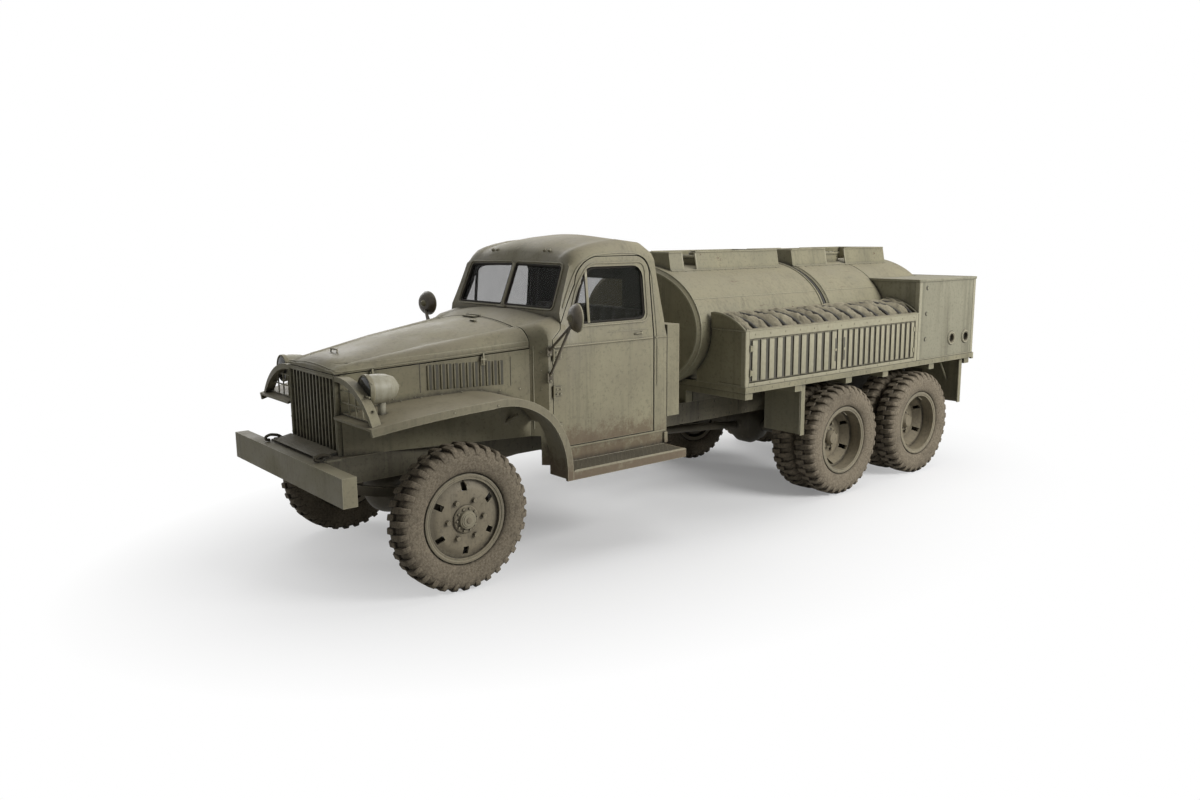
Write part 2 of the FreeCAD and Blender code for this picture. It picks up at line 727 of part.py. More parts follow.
def grille():
    """Upright bars in a frame, in front of the radiator."""
    width, bottom = S.grille_width, S.frame_top
    height = S.grille_top - bottom
    rim = 26
    depth = 30
    frame = cut(
        box("sizes.grille_width", depth, height, (-GRILLE_HALF, GRILLE_Y, bottom)),
        box(width - 2 * rim, depth + 2, height - 2 * rim, (-GRILLE_HALF + rim, GRILLE_Y - 1, bottom + rim)),
    )
    bars = []
    count = int(S.grille_bars)
    pitch = (width - 2 * rim) / (count + 1)
    for k in range(count):
        x = -GRILLE_HALF + rim + pitch * (k + 1)
        bars.append(box(14, depth - 8, height - 2 * rim + 4, (x - 7, GRILLE_Y + 2, bottom + rim - 2)))
    tie_x = -GRILLE_HALF + rim - 2
    ties = [box(width - 2 * rim + 4, 10, 10, (tie_x, GRILLE_Y + 16, bottom + z)) for z in (130, 360)]
    node("grille", fuse(frame, *bars, *ties))


FENDER_FRONT = GRILLE_Y - 20
FENDER_REAR = AXLE_F + 785
BOARD_X = S.board_width / 2


def fender_points():
    """The fender's side profile, front to rear: ends and middles of three arcs, then a straight end."""
    crest = S.fender_crest
    y = AXLE_F
    return [
        (FENDER_FRONT, crest - 90), (y - 230, crest - 30), (y + 170, crest), (y + 455, crest - 32),
        (y + 640, crest - 150), (y + 740, crest - 310), (FENDER_REAR, crest - 510),
        (FENDER_REAR, S.board_height - S.board_thick),
    ]


def fender_band(thick, x0, x1):
    """The fender's profile with a thickness below it, from x0 to x1."""
    top = fender_points()
    under = []
    for k, (y, z) in enumerate(top):
        before, after = top[max(k - 1, 0)], top[min(k + 1, len(top) - 1)]
        dy, dz = after[0] - before[0], after[1] - before[1]
        length = math.hypot(dy, dz)
        under.append((y + thick * dz / length, z - thick * dy / length))
    outline = [
        top[0], (top[1], top[2]), (top[3], top[4]), (top[5], top[6]), top[7],
        under[7], under[6], (under[5], under[4]), (under[3], under[2]), (under[1], under[0]),
    ]
    return yz_prism(outline, x0, x1)


def fender_plan(inset):
    """The fender seen from above, as a prism: along the engine's side panel, out to the running board."""
    y0, y1 = FENDER_FRONT - 60, FENDER_REAR + 60
    front_x = BOARD_X - 120 - inset
    full_x = BOARD_X - inset
    gap = S.seat_clearance
    outline = [
        (side_panel_x(y0) + gap, y0), (front_x, y0), (front_x, FENDER_FRONT),
        ((BOARD_X - 38 - inset, AXLE_F - 260), (full_x, AXLE_F + 100)), (full_x, y1), (side_panel_x(y1) + gap, y1),
    ]
    edges = [e.toShape() for e in outline_edges(outline)]
    face = Part.Face(Part.Wire(edges))
    face.translate(Vector(0, 0, 300))
    return face.extrude(Vector(0, 0, 1400))


def front_fenders():
    """Front fenders: a bent sheet with a rolled outer edge, down to the running board."""
    inner_x = GRILLE_HALF - 60
    sheet_part = fender_band(S.fender_sheet, inner_x, BOARD_X + 60).common(fender_plan(0))
    rolled = fender_band(S.fender_lip, inner_x, BOARD_X + 60).common(fender_plan(0)).cut(fender_plan(22))
    whole = sheet_part.fuse(rolled).removeSplitter()
    # behind the cowl's front the cab's side is in the way
    cab_box = Part.makeBox(2 * (CAB_X + S.seat_clearance), 600, 1000,
                           Vector(-CAB_X - S.seat_clearance, COWL_Y - S.seat_clearance, S.sill_height - 80))
    node("front_fenders", both(made(whole.cut(cab_box))))


def brush_guards():
    """Flat steel arcs that guard the headlights, from the grille's top corners to the fenders' corners."""
    top = (GRILLE_HALF + S.seat_clearance, S.grille_top - 6)
    foot_x = BOARD_X - 120 - 22
    foot_z = S.fender_crest - 90
    width, depth = 30, 60
    outer = [
        top, ((foot_x - 150, S.grille_top - 95), (foot_x, foot_z)), (foot_x - width, foot_z),
        ((foot_x - 150 - width + 4, S.grille_top - 95 - width + 4), (top[0], top[1] - width)),
    ]
    bar_z = foot_z + 10
    guard = plate("xz", outer, depth, GRILLE_Y)
    inner_x = side_panel_x(GRILLE_Y + 42) + S.seat_clearance
    bars = []
    for k, z in enumerate((bar_z + 5, bar_z + 75, bar_z + 150)):
        reach = (foot_x - 16, foot_x - 38, foot_x - 95)[k]
        bars.append(box(reach - inner_x, 8, 8, (inner_x, GRILLE_Y + 34, z)))
    for x in (470, 560, 650):
        bars.append(box(8, 8, (200, 175, 150)[(470, 560, 650).index(x)], (x, GRILLE_Y + 34, bar_z + 5)))
    whole = fuse(guard, *bars)
    doc.recompute()
    sheets = dict(NODES)
    standing = whole.Shape
    for name, lift in (("front_fenders", Vector(0, 0, 1)), ("hood_sides", Vector(1, 0, 0))):
        for share in (0, 1):
            tool = sheets[name].Shape.copy()
            tool.translate(lift * share * S.seat_clearance)
            standing = standing.cut(tool)
    above = [piece for piece in standing.Solids if piece.BoundBox.ZMax > S.fender_crest]
    node("brush_guards", both(made(max(above, key=lambda piece: piece.Volume))))


LAMP_X = 640.0
LAMP_Y = AXLE_F - 390
LAMP_RADIUS = 90.0


def headlights():
    """Bucket lamps on short feet on the fenders."""
    z = S.fender_crest + 102
    outline = [(-105, 0), (-100, 60), (-80, LAMP_RADIUS), (-30, LAMP_RADIUS), (30, 84), (76, 66), (104, 30), (110, 0)]
    lamp = turned(outline, (LAMP_X, LAMP_Y, z), "y")
    foot = cylinder(24, 200, (LAMP_X, LAMP_Y, z - 200), "z")
    doc.recompute()
    standing = foot.Shape.cut(fender_band(100, LAMP_X - 60, LAMP_X + 60))
    upper = max(standing.Solids, key=lambda piece: piece.BoundBox.ZMax)
    node("headlights", both(fuse(lamp, made(upper))))


# ---------------------------------------------------------------------------------------------
# Cab
# ---------------------------------------------------------------------------------------------
# cab sections: distance behind the cowl's front, how far the eaves are tucked in at the corners, height of
# the eaves, of the roof's shoulder, of the crown
ROOF = S.cab_height
CAB_SECTIONS = [
    (228, 70, ROOF - 250, ROOF - 225, ROOF - 205),
    (357, 34, ROOF - 215, ROOF - 190, ROOF - 175),
    (385, 24, ROOF - 198, ROOF - 150, ROOF - 122),
    (420, 12, ROOF - 180, ROOF - 122, ROOF - 90),
    (480, 4, ROOF - 162, ROOF - 100, ROOF - 58),
    (560, 0, ROOF - 148, ROOF - 80, ROOF - 34),
    (680, 0, ROOF - 138, ROOF - 58, ROOF - 13),
    (820, 0, ROOF - 135, ROOF - 45, ROOF),
    (1020, 0, ROOF - 160, ROOF - 68, ROOF - 22),
    (1110, 10, ROOF - 205, ROOF - 120, ROOF - 72),
    (S.cab_length, 45, ROOF - 330, ROOF - 240, ROOF - 190),
]
EAVE_HALF = CAB_X - 62
FLOOR_TOP = S.frame_top + 25
WINDSHIELD_BASE = (228, 1665)
WINDSHIELD_HEAD = (357, 1992)


def cab_outline(tuck, eave, shoulder, crown, inset, base):
    half, top = CAB_X - inset, EAVE_HALF - inset - tuck
    shoulder, crown, eave = shoulder - inset, crown - inset, eave - 0.5 * inset
    flat = top - 165
    bend = (top - 38, eave + 0.72 * (shoulder - eave))
    return [
        (-half, base), (-half, S.belt_height), (-top, eave), ((-bend[0], bend[1]), (-flat, shoulder)),
        ((0, crown), (flat, shoulder)), ((bend[0], bend[1]), (top, eave)), (half, S.belt_height), (half, base),
    ]


def cab_upper(inset, base, y_extra):
    """The cab from the windshield's foot back, as a solid."""
    wires = []
    last = len(CAB_SECTIONS) - 1
    for k, (y, tuck, eave, shoulder, crown) in enumerate(CAB_SECTIONS):
        shift = y_extra if k == 0 else (-inset if k == last else 0)
        wires.append(wire_at(COWL_Y + y + shift, cab_outline(tuck, eave, shoulder, crown, inset, base)))
    return loft(wires)


def cowl_outline(edge, shoulder, crown, inset, base, half):
    half, shoulder, crown = half - inset, shoulder - inset, crown - inset
    flat = half - 0.26 * half
    return [
        (-half, base), (-half, edge), ((-(half - 0.07 * half), edge + 0.72 * (shoulder - edge)), (-flat, shoulder)),
        ((0, crown), (flat, shoulder)), ((half - 0.07 * half, edge + 0.72 * (shoulder - edge)), (half, edge)),
        (half, base),
    ]


def cowl(inset, base, front):
    """From the hood's rear edge to the windshield's foot."""
    wires = [
        wire_at(COWL_Y + front, cowl_outline(1490, 1574, 1624, inset, base, CAB_X - 88)),
        wire_at(COWL_Y + 90, cowl_outline(1500, 1596, 1640, inset, base, CAB_X)),
        wire_at(COWL_Y + 260, cowl_outline(1530, 1640, 1676, inset, base, CAB_X)),
    ]
    return loft(wires)


def windshield_side(shift, y0=-900.0):
    """Everything in front of the windshield's plane, moved back by shift, above the cowl."""
    (ya, za), (yb, zb) = WINDSHIELD_BASE, WINDSHIELD_HEAD
    slope = (yb - ya) / (zb - za)
    low, high = za - 400, zb + 600
    outline = [
        (COWL_Y + y0, low), (COWL_Y + ya + slope * (low - za) + shift, low),
        (COWL_Y + ya + slope * (high - za) + shift, high), (COWL_Y + y0, high),
    ]
    face = Part.Face(Part.Wire([e.toShape() for e in outline_edges(outline)]))
    face.rotate(Vector(0, 0, 0), Vector(1, 1, 1), 120)
    face.translate(Vector(-CAB_X - 50, 0, 0))
    return face.extrude(Vector(2 * CAB_X + 100, 0, 0))


DOOR_FRONT = COWL_Y + 122
DOOR_REAR = COWL_Y + 1046
DOOR_TOP = ROOF - 150


def door_outline(shrink, rear_shrink):
    """The door seen from the side: upright below the belt, leaning back along the windshield's pillar."""
    s, r = shrink, rear_shrink
    return [
        (DOOR_FRONT + s, S.door_bottom + s), (DOOR_FRONT + s, 1500), (DOOR_FRONT + 80 + s, 1560),
        (DOOR_FRONT + 247 + s, 1860 - s), ((DOOR_FRONT + 300 + s, 1975 - s), (DOOR_FRONT + 440, DOOR_TOP - s)),
        (DOOR_REAR - 140, DOOR_TOP - s), ((DOOR_REAR - 32 - r, DOOR_TOP - 40 - s), (DOOR_REAR - r, DOOR_TOP - 150)),
        (DOOR_REAR - r, S.door_bottom + s),
    ]


WINDOW_SILL = 1585.0
DOOR_HINGES = (860, 1110, 1360)  # heights of the barrels' lower ends
DOOR_AXIS_X = CAB_X + S.hinge_radius + S.seat_clearance
DOOR_AXIS_Y = DOOR_FRONT + S.door_gap / 2


def window_outline(shrink):
    """The door's window, with its rounded corners."""
    s = shrink
    top = DOOR_TOP - 72
    front, rear = DOOR_FRONT + 168, DOOR_REAR - 75
    return [
        (front + s, WINDOW_SILL + s), (front + 126 + s, 1850 - s), ((front + 162 + s, top - 28 - s), (front + 225, top - s)),
        (rear - 90, top - s), ((rear - 26 - s, top - 26 - s), (rear - s, top - 90)), (rear - s, WINDOW_SILL + 55),
        ((rear - 16 - s, WINDOW_SILL + 16 + s), (rear - 55, WINDOW_SILL + s)),
    ]


def cab_wall_shape():
    """The cab's walls and roof, closed, before doors and windows are cut."""
    base = S.sill_height
    front_cut = windshield_side(0)
    inside_cut = windshield_side(S.cab_wall * 0.6)
    outer = cab_upper(0, base, 0).cut(front_cut).fuse(cowl(0, base, 0)).removeSplitter()
    floor = FLOOR_TOP
    inner_up = cab_upper(S.cab_wall, floor, 40).cut(inside_cut)
    inner_low = cowl(S.cab_wall, floor, S.cab_wall)
    # the lower inside runs the cab's whole length behind the cowl
    room = Part.makeBox(2 * (CAB_X - S.cab_wall), S.cab_length - 90 - S.cab_wall, 1490 - floor,
                        Vector(-CAB_X + S.cab_wall, COWL_Y + 90, floor))
    inner = inner_up.fuse(inner_low).fuse(room)
    clear = S.frame_top + S.seat_clearance - base + 1
    under = Part.makeBox(2 * (CAB_X - S.cab_wall), S.cab_length + 2, clear,
                         Vector(-CAB_X + S.cab_wall, COWL_Y - 1, base - 1))
    tunnel_x = CAB_X - 88 - S.cab_wall
    tunnel = Part.makeBox(2 * tunnel_x, 90, clear, Vector(-tunnel_x, COWL_Y - 1, base - 1))
    return outer.cut(inner), under.fuse(tunnel)


def windshield_panes():
    """The windshield's two openings, as prisms along the cab."""
    prisms = []
    (ya, za), (yb, zb) = WINDSHIELD_BASE, WINDSHIELD_HEAD
    for side in (-1, 1):
        outline = [
            (side * 18, za + 24), (side * 578, za + 24), (side * 594, za + 40), (side * 572, zb - 34),
            (side * 552, zb - 14), (side * 18, zb - 6),
        ]
        wire = wire_at(COWL_Y + 60, outline)
        prisms.append(Part.Face(wire).extrude(Vector(0, 520, 0)))
    return prisms


def rear_window():
    wire = wire_at(CAB_REAR - 160, [(-300, 1640), (300, 1640), (300, 1850), (-300, 1850)])
    return Part.Face(wire).extrude(Vector(0, 300, 0))


def cab():
    walls, under = cab_wall_shape()
    shell = walls.cut(under)
    # below the belt the doorway and the door reach no further in than the wall, so that the floor stays whole
    floor_edge = CAB_X - S.cab_wall - S.door_gap
    room = Part.makeBox(floor_edge, 2000, S.belt_height - S.sill_height + 1,
                        Vector(0, COWL_Y - 200, S.sill_height - 1))
    opening = yz_prism(door_outline(0, 0), CAB_X - 260, CAB_X + 60).cut(room)
    for tool in (opening, opening.mirror(Vector(0, 0, 0), Vector(1, 0, 0)), *windshield_panes(), rear_window()):
        shell = shell.cut(tool)
    node("cab_shell", made(shell))
    leaf = walls.cut(under).common(yz_prism(door_outline(S.door_gap, S.door_rear_gap), CAB_X - 260, CAB_X + 60))
    room.translate(Vector(S.door_gap, 0, 0))
    leaf = leaf.cut(room)
    leaf = leaf.cut(yz_prism(window_outline(0), CAB_X - 300, CAB_X + 80))
    barrels = []
    for z in DOOR_HINGES:
        barrels.append(cylinder("sizes.hinge_radius", 80, (DOOR_AXIS_X, DOOR_AXIS_Y, z)))
        barrels.append(box(S.hinge_radius + 9, 70, 60, (CAB_X - 9, DOOR_AXIS_Y, z + 10)))
    node("left_door", fuse(made(leaf), *barrels))
    node("left_door_glass", made(door_pane()))


def door_pane():
    """The glass: the middle 6 mm of the wall where the window is."""
    lean = (CAB_X - EAVE_HALF) / (CAB_SECTIONS[7][2] - S.belt_height)
    low, high = 1480, DOOR_TOP + 20
    middle = CAB_X - 20
    outline = [
        (middle - lean * (low - S.belt_height), low), (middle - lean * (high - S.belt_height), high),
        (middle - 6 - lean * (high - S.belt_height), high), (middle - 6 - lean * (low - S.belt_height), low),
    ]
    wire = wire_at(DOOR_FRONT, outline)
    sheet_solid = Part.Face(wire).extrude(Vector(0, DOOR_REAR - DOOR_FRONT, 0))
    return sheet_solid.common(yz_prism(window_outline(0.3), CAB_X - 300, CAB_X + 80))


def cab_glass():
    """Windshield panes and the rear window's pane."""
    (ya, za), (yb, zb) = WINDSHIELD_BASE, WINDSHIELD_HEAD
    slab = windshield_side(S.cab_wall * 0.45).cut(windshield_side(S.cab_wall * 0.3))
    panes = []
    for prism in windshield_panes():
        small = prism.copy()
        panes.append(made(slab.common(small)))
    rear = Part.makeBox(599.4, 6, 209.4, Vector(-299.7, CAB_REAR - 22, 1640.3))
    node("cab_glass", group(*panes, made(rear)))


SEAT_Y = CAB_REAR - 560
SEAT_BASE = 190.0


def seats():
    wide = 2 * (CAB_X - S.cab_wall - 70)
    half = wide / 2
    top = FLOOR_TOP + SEAT_BASE + S.seat_clearance
    cushion = box(wide, 480, 150, (-half, SEAT_Y, top))
    lean = [
        (SEAT_Y + 370, top + 155), (SEAT_Y + 490, top + 155), (CAB_REAR - S.cab_wall - S.seat_clearance, top + 590),
        (SEAT_Y + 425, top + 590),
    ]
    node("seats", group(cushion, plate("yz", lean, wide, -half)))


COLUMN_X = 360.0
COLUMN_LEAN = 35.0
WHEEL_CENTRE = Vector(COLUMN_X, COWL_Y + 450, 1480)
COLUMN_AXIS = Vector(0, math.cos(math.radians(COLUMN_LEAN)), math.sin(math.radians(COLUMN_LEAN)))


def steering():
    """Instrument panel, steering column, seat base, levers and pedals, and the three-spoked wheel."""
    tip = WHEEL_CENTRE - COLUMN_AXIS * 30
    foot = WHEEL_CENTRE - COLUMN_AXIS * ((WHEEL_CENTRE.y - COWL_Y - 62) / COLUMN_AXIS.y)
    column = strut(tuple(foot), tuple(tip), 24)
    mounting = box(100, 44, 100, (COLUMN_X - 50, COWL_Y + S.cab_wall + S.seat_clearance, foot.z - 50))
    side = CAB_X - S.cab_wall
    half = side - 70
    panel = box(2 * half, 90, 150, (-half, COWL_Y + 150, 1400))
    # its ends are held by the cowl's sides, ahead of the doors
    ends = fuse(box(2 * (side - S.seat_clearance), 26, 60, (S.seat_clearance - side, COWL_Y + 92, 1410)),
                box(2 * half, 50, 60, (-half, COWL_Y + 104, 1410)))
    base = box(2 * half, 470, SEAT_BASE, (-half, SEAT_Y + 20, FLOOR_TOP))
    below = (1000, 800, 80, (-300, COWL_Y, FLOOR_TOP + S.seat_clearance - 80))
    stick = fuse(strut((0, COWL_Y + 330, FLOOR_TOP), (30, COWL_Y + 440, FLOOR_TOP + 420), 9),
                 cylinder(24, 36, (30, COWL_Y + 440, FLOOR_TOP + 400)))
    stick = cut(stick, box(*below))
    levers = [cut(strut((x, COWL_Y + 340, FLOOR_TOP), (x, COWL_Y + 380, FLOOR_TOP + 250), 8), box(*below))
              for x in (-70, -110)]
    pedals = []
    for x in (230, 490, 560):
        arm = cut(strut((x, COWL_Y + 120, FLOOR_TOP), (x, COWL_Y + 165, FLOOR_TOP + 130), 9), box(*below))
        pedals.append(fuse(arm, box(60, 16, 70, (x - 30, COWL_Y + 160, FLOOR_TOP + 110))))
    node("cab_fittings", group(fuse(column, mounting), fuse(panel, ends), base, stick, *levers, *pedals))
    ring = doc.addObject("Part::Torus", fresh("torus"))
    bind(ring, Radius1="sizes.steering_wheel_radius", Radius2=13)
    turn = Rotation(Vector(0, 0, 1), COLUMN_AXIS)
    ring.Placement = Placement(WHEEL_CENTRE + COLUMN_AXIS * 20, turn)
    spokes = []
    for k in range(3):
        angle = math.radians(120 * k + 90)
        direction = turn.multVec(Vector(math.cos(angle), math.sin(angle), 0))
        start = WHEEL_CENTRE + COLUMN_AXIS * 5
        end = WHEEL_CENTRE + COLUMN_AXIS * 20 + direction * S.steering_wheel_radius
        spokes.append(strut(tuple(start), tuple(end), 8))
    boss = cylinder(34, 40, tuple(tip + COLUMN_AXIS * S.shaft_clearance), tuple(COLUMN_AXIS))
    node("steering_wheel", fuse(ring, boss, *spokes))


def running_boards():
    """Steps along the cab, from the fenders' feet, on brackets from the frame."""
    y0 = FENDER_REAR + S.seat_clearance
    y1 = CAB_REAR - 30
    x0 = CAB_X + S.seat_clearance
    board = box(BOARD_X - x0, y1 - y0, "sizes.board_thick", (x0, y0, S.board_height - S.board_thick))
    hollow = box(BOARD_X - x0 - 24, y1 - y0 - 24, S.board_thick - 14,
                 (x0 - 12, y0 + 12, S.board_height - S.board_thick - 2))
    carriers = []
    for y in (y0 + 200, y1 - 200):
        carriers.append(box(BOARD_X - 60 - RAIL_X - S.seat_clearance, 50, 30,
                            (RAIL_X + S.seat_clearance, y, S.board_height - S.board_thick)))
        drop = S.sill_height - S.board_thick
        carriers.append(box(30, 50, RAIL_BOTTOM + 60 - drop, (RAIL_X + S.seat_clearance, y, drop)))
    node("running_boards", both(fuse(cut(board, hollow), *carriers)))


def mirrors():
    """Round mirrors on two-legged arms from the cowl's sides."""
    head = Vector(CAB_X + 212, COWL_Y + 150, 1655)
    facing = Vector(0.25, 1, 0)
    dish = turned([(-34, 0), (-30, 40), ((-12, 78), (10, 92)), (18, 92), (18, 0)], (0, 0, 0))
    dish.Placement = Placement(head, Rotation(Vector(1, 0, 0), facing))
    joint = tuple(head - facing.normalize() * 22 + Vector(-10, 0, -50))
    arms = [strut((CAB_X + 1, COWL_Y + 96, z), joint, 9) for z in (1426, 1249)]
    feet = [box(10, 40, 60, (CAB_X + S.seat_clearance, COWL_Y + 76, z - 30)) for z in (1426, 1249)]
    wall = box(60, 400, 600, (CAB_X + S.seat_clearance - 60, COWL_Y - 100, 1100))
    node("mirrors", both(cut(fuse(dish, *arms, *feet), wall)))


def cross_locker():
    """The flat cross-wise locker on the frame behind the cab."""
    y0 = CAB_REAR + 8
    node("cross_locker", box("sizes.cab_width", 120, 1531 - S.frame_top, (-CAB_X, y0, S.frame_top)))


# ---------------------------------------------------------------------------------------------
# Deck, tanks, lockers and rear cabinet
# ---------------------------------------------------------------------------------------------
TANK_REAR = TANK_Y + S.tank_length
SPLIT_Y = TANK_Y + S.tank_split


def deck_frame():
    """Side rails and a rear rail, carried by cross bearers that cradle the tanks."""
    y0 = DECK_Y
    length = REAR_Y - y0
    rails = [
        box(60, length, "sizes.deck_rail", (x, y0, DECK_BOTTOM)) for x in (DECK_X - 60, -DECK_X)
    ]
    rails.append(box("sizes.deck_width", 60, "sizes.deck_rail", (-DECK_X, REAR_Y - 60, DECK_BOTTOM)))
    rails.append(box("sizes.deck_width", 60, "sizes.deck_rail", (-DECK_X, y0, DECK_BOTTOM)))
    bearers = []
    arm_low = max(2 * S.tyre_radius + 18, S.frame_top + 30)
    for y in (y0 + 10, y0 + 590, SPLIT_Y - 200, (AXLE_R1 + AXLE_R2) / 2 - 40, AXLE_R2 + 120, REAR_Y - 140):
        bearers.append(box("sizes.deck_width - 20", 80, DECK_BOTTOM + 10 - arm_low, (-DECK_X + 10, y, arm_low)))
        bearers.append(box("sizes.frame_width", 80, arm_low + 10 - S.frame_top - S.seat_clearance,
                           (-RAIL_X, y, S.frame_top + S.seat_clearance)))
    whole = fuse(*rails, *bearers)
    node("deck_frame", cut(whole, tank_relief(S.seat_clearance, TANK_Y - 300, TANK_REAR + 12)))


def tanks():
    """Two elliptic tanks, one behind the other, with a rolled edge at each head."""
    gap = 34
    solids = []
    for y0, y1 in ((TANK_Y, SPLIT_Y - gap / 2), (SPLIT_Y + gap / 2, TANK_REAR)):
        inset = 24
        barrel = ellipse_solid(S.tank_half_width, S.tank_half_height, y0 + inset, y1 - inset)
        for start, depth in ((y0, inset), (y1, -inset)):
            small = wire_ellipse(S.tank_half_width - 26, S.tank_half_height - 26, start)
            large = wire_ellipse(S.tank_half_width, S.tank_half_height, start + depth)
            barrel = barrel.fuse(Part.makeLoft([small, large], True, True))
        solids.append(made(barrel.removeSplitter()))
    node("tanks", group(*solids))


def wire_ellipse(half_width, half_height, y):
    centre = Vector(0, y, S.tank_axis_height)
    if half_width >= half_height:
        curve = Part.Ellipse(centre + Vector(half_width, 0, 0), centre + Vector(0, 0, half_height), centre)
    else:
        curve = Part.Ellipse(centre + Vector(0, 0, half_height), centre - Vector(half_width, 0, 0), centre)
    return Part.Wire([curve.toShape()])


TANK_TOP = S.tank_axis_height + S.tank_half_height
# coamings: distance behind the tank's front of the start, the end, the notch's start and end, and the hatch
COAMINGS = [
    ("front", 98, 1408, 250, 390, 640),
    ("rear", 1600, 3000, 2090, 2370, 2300),
]
NECK_TOP = S.coaming_height - 50


def coamings():
    """Leaning walls on top of each tank, open above, round the manhole's neck."""
    low_half, top_half, wall = 300, 262, 10
    pieces = []
    low = S.tank_axis_height + 300
    for _, start, end, notch0, notch1, hatch in COAMINGS:
        y0, y1 = TANK_Y + start, TANK_Y + end
        outer = [(-low_half - 60, low), (low_half + 60, low), (low_half, TANK_TOP - 90), (top_half, S.coaming_height),
                 (-top_half, S.coaming_height), (-low_half, TANK_TOP - 90)]
        inner = [(-low_half + wall, low - 1), (low_half - wall, low - 1), (low_half - wall, TANK_TOP - 90),
                 (top_half - wall, S.coaming_height + 1), (-top_half + wall, S.coaming_height + 1),
                 (-low_half + wall, TANK_TOP - 90)]
        block = plate("xz", outer, y1 - y0, y0)
        hollow = plate("xz", inner, y1 - y0 - 2 * wall, y0 + wall)
        notch = box(800, notch1 - notch0, 300, (0, TANK_Y + notch0, TANK_TOP - 40))
        relief = tank_relief(S.seat_clearance, y0 - 10, y1 + 10)
        pieces.append(cut(block, hollow, notch, relief))
        neck = cut(
            fuse(
                cylinder("sizes.hatch_radius - 12", NECK_TOP - low, (0, TANK_Y + hatch, low)),
                box(50, 70, NECK_TOP - low, (-25, TANK_Y + hatch - S.hatch_radius - 50, low)),
            ),
            cylinder("sizes.hatch_radius - 24", NECK_TOP - low + 2, (0, TANK_Y + hatch, low - 1)),
            tank_relief(S.seat_clearance, y0 - 10, y1 + 10),
        )
        pieces.append(neck)
    node("tank_coamings", group(*pieces))


def hatch_lids():
    """Round lids on the manhole necks, each with a filler cap, hinged at the front."""
    for name, start, end, notch0, notch1, hatch in COAMINGS:
        y = TANK_Y + hatch
        base = NECK_TOP + S.seat_clearance
        lid = cylinder("sizes.hatch_radius", 14, (0, y, base))
        cap = cylinder(62, 30, (0, y + 30, base + 10))
        grip = box(120, 22, 16, (-60, y + 19, base + 36))
        tab = box(60, 60, 14, (-30, y - S.hatch_radius - 40, base))
        barrel = cylinder(8, 60, (-30, y - S.hatch_radius - 40, base + 8), "x")
        node(f"{name}_hatch_lid", fuse(lid, cap, grip, tab, barrel))


LOCKER_IN = 722.0
LOCKER_AXIS_X = DECK_X - 8 + S.small_hinge_radius + S.seat_clearance
LOCKER_REAR = CABINET_Y - S.seat_clearance
DOOR_PLATE = 14.0
POST = 46.0


def lockers():
    """Left and right side lockers: trays with an open front, closed by ribbed doors."""
    w = S.locker_wall
    y0, y1 = DECK_Y, LOCKER_REAR
    z0 = S.deck_top + S.seat_clearance
    outer = box(DECK_X - 8 - LOCKER_IN, y1 - y0, LOCKER_TOP - z0, (LOCKER_IN, y0, z0))
    inside = box(DECK_X - 8 - LOCKER_IN - 2 * w, y1 - y0 - 2 * w, LOCKER_TOP - z0 - 2 * w,
                 (LOCKER_IN + w, y0 + w, z0 + w))
    half = (y1 - y0) / 2
    doorways = []
    for start in (y0 + POST, y0 + half + POST / 2):
        doorways.append(box(4 * w, half - 1.5 * POST, S.locker_height - 2 * POST,
                            (DECK_X - 8 - 2 * w, start, z0 + POST * 0.7)))
    # end plates of the cover's tray, and the front plate reaching in to the tank
    tray = []
    for y in (y0, y1 - w):
        outline = [(LOCKER_IN - 14, LOCKER_TOP - 1), (LOCKER_IN - 14, LOCKER_TOP + 122),
                   ((DECK_X - 150, LOCKER_TOP + 84), (DECK_X - 14, LOCKER_TOP - 1))]
        tray.append(plate("xz", outline, w, y))
    inward = cut(
        box(LOCKER_IN - 560, w, LOCKER_TOP - z0, (561, y0, z0)),
        tank_relief(10, y0 - 20, y0 + 60),
    )
    whole = fuse(cut(outer, inside, *doorways), *tray, inward)
    node("lockers", both(cut(whole, tank_relief(8, y0 - 20, y1 + 20))))


def locker_doors():
    """Ribbed locker doors, two a side, hinged at their outer ends."""
    z0 = S.deck_top + S.seat_clearance + POST * 0.7
    height = S.locker_height - 2 * POST
    half = (LOCKER_REAR - DECK_Y) / 2
    gap = S.door_gap
    length = half - 1.5 * POST
    for name, start, ribs in (("front", DECK_Y + POST, 11), ("rear", DECK_Y + half + POST / 2, 14)):
        x0 = DECK_X - 8 - S.locker_wall
        panel = box(DOOR_PLATE - 6, length - 2 * gap, height - 2 * gap, (x0, start + gap, z0 + gap))
        pieces = [panel]
        pitch = (length - 2 * gap) / ribs
        for k in range(ribs):
            pieces.append(box(12, pitch * 0.55, height - 2 * gap - 12,
                              (x0 + 4, start + gap + pitch * (k + 0.22), z0 + gap + 6)))
        edge = start + gap / 2 if name == "front" else start + length - gap / 2
        away = 0 if name == "front" else -30
        for z in (z0 + 50, z0 + height - 100):
            pieces.append(cylinder("sizes.small_hinge_radius", 50, (LOCKER_AXIS_X, edge, z)))
            pieces.append(box(LOCKER_AXIS_X + 5 - x0, 30, 40, (x0, edge + away, z + 5)))
        node(f"left_locker_{name}_door", fuse(*pieces))


def covers():
    """The soft covers that lie over the lockers' trays, as plain closed solids."""
    y0, y1 = DECK_Y + S.locker_wall + 4, LOCKER_REAR - S.locker_wall - 4
    z = LOCKER_TOP + S.seat_clearance
    outline = [
        (LOCKER_IN - 2, z), (LOCKER_IN - 2, z + 128), ((DECK_X - 140, z + 96), (DECK_X - 22, z + 12)), (DECK_X - 22, z),
    ]
    node("covers", both(cut(plate("xz", outline, y1 - y0, y0), tank_relief(8, y0 - 20, y1 + 20))))


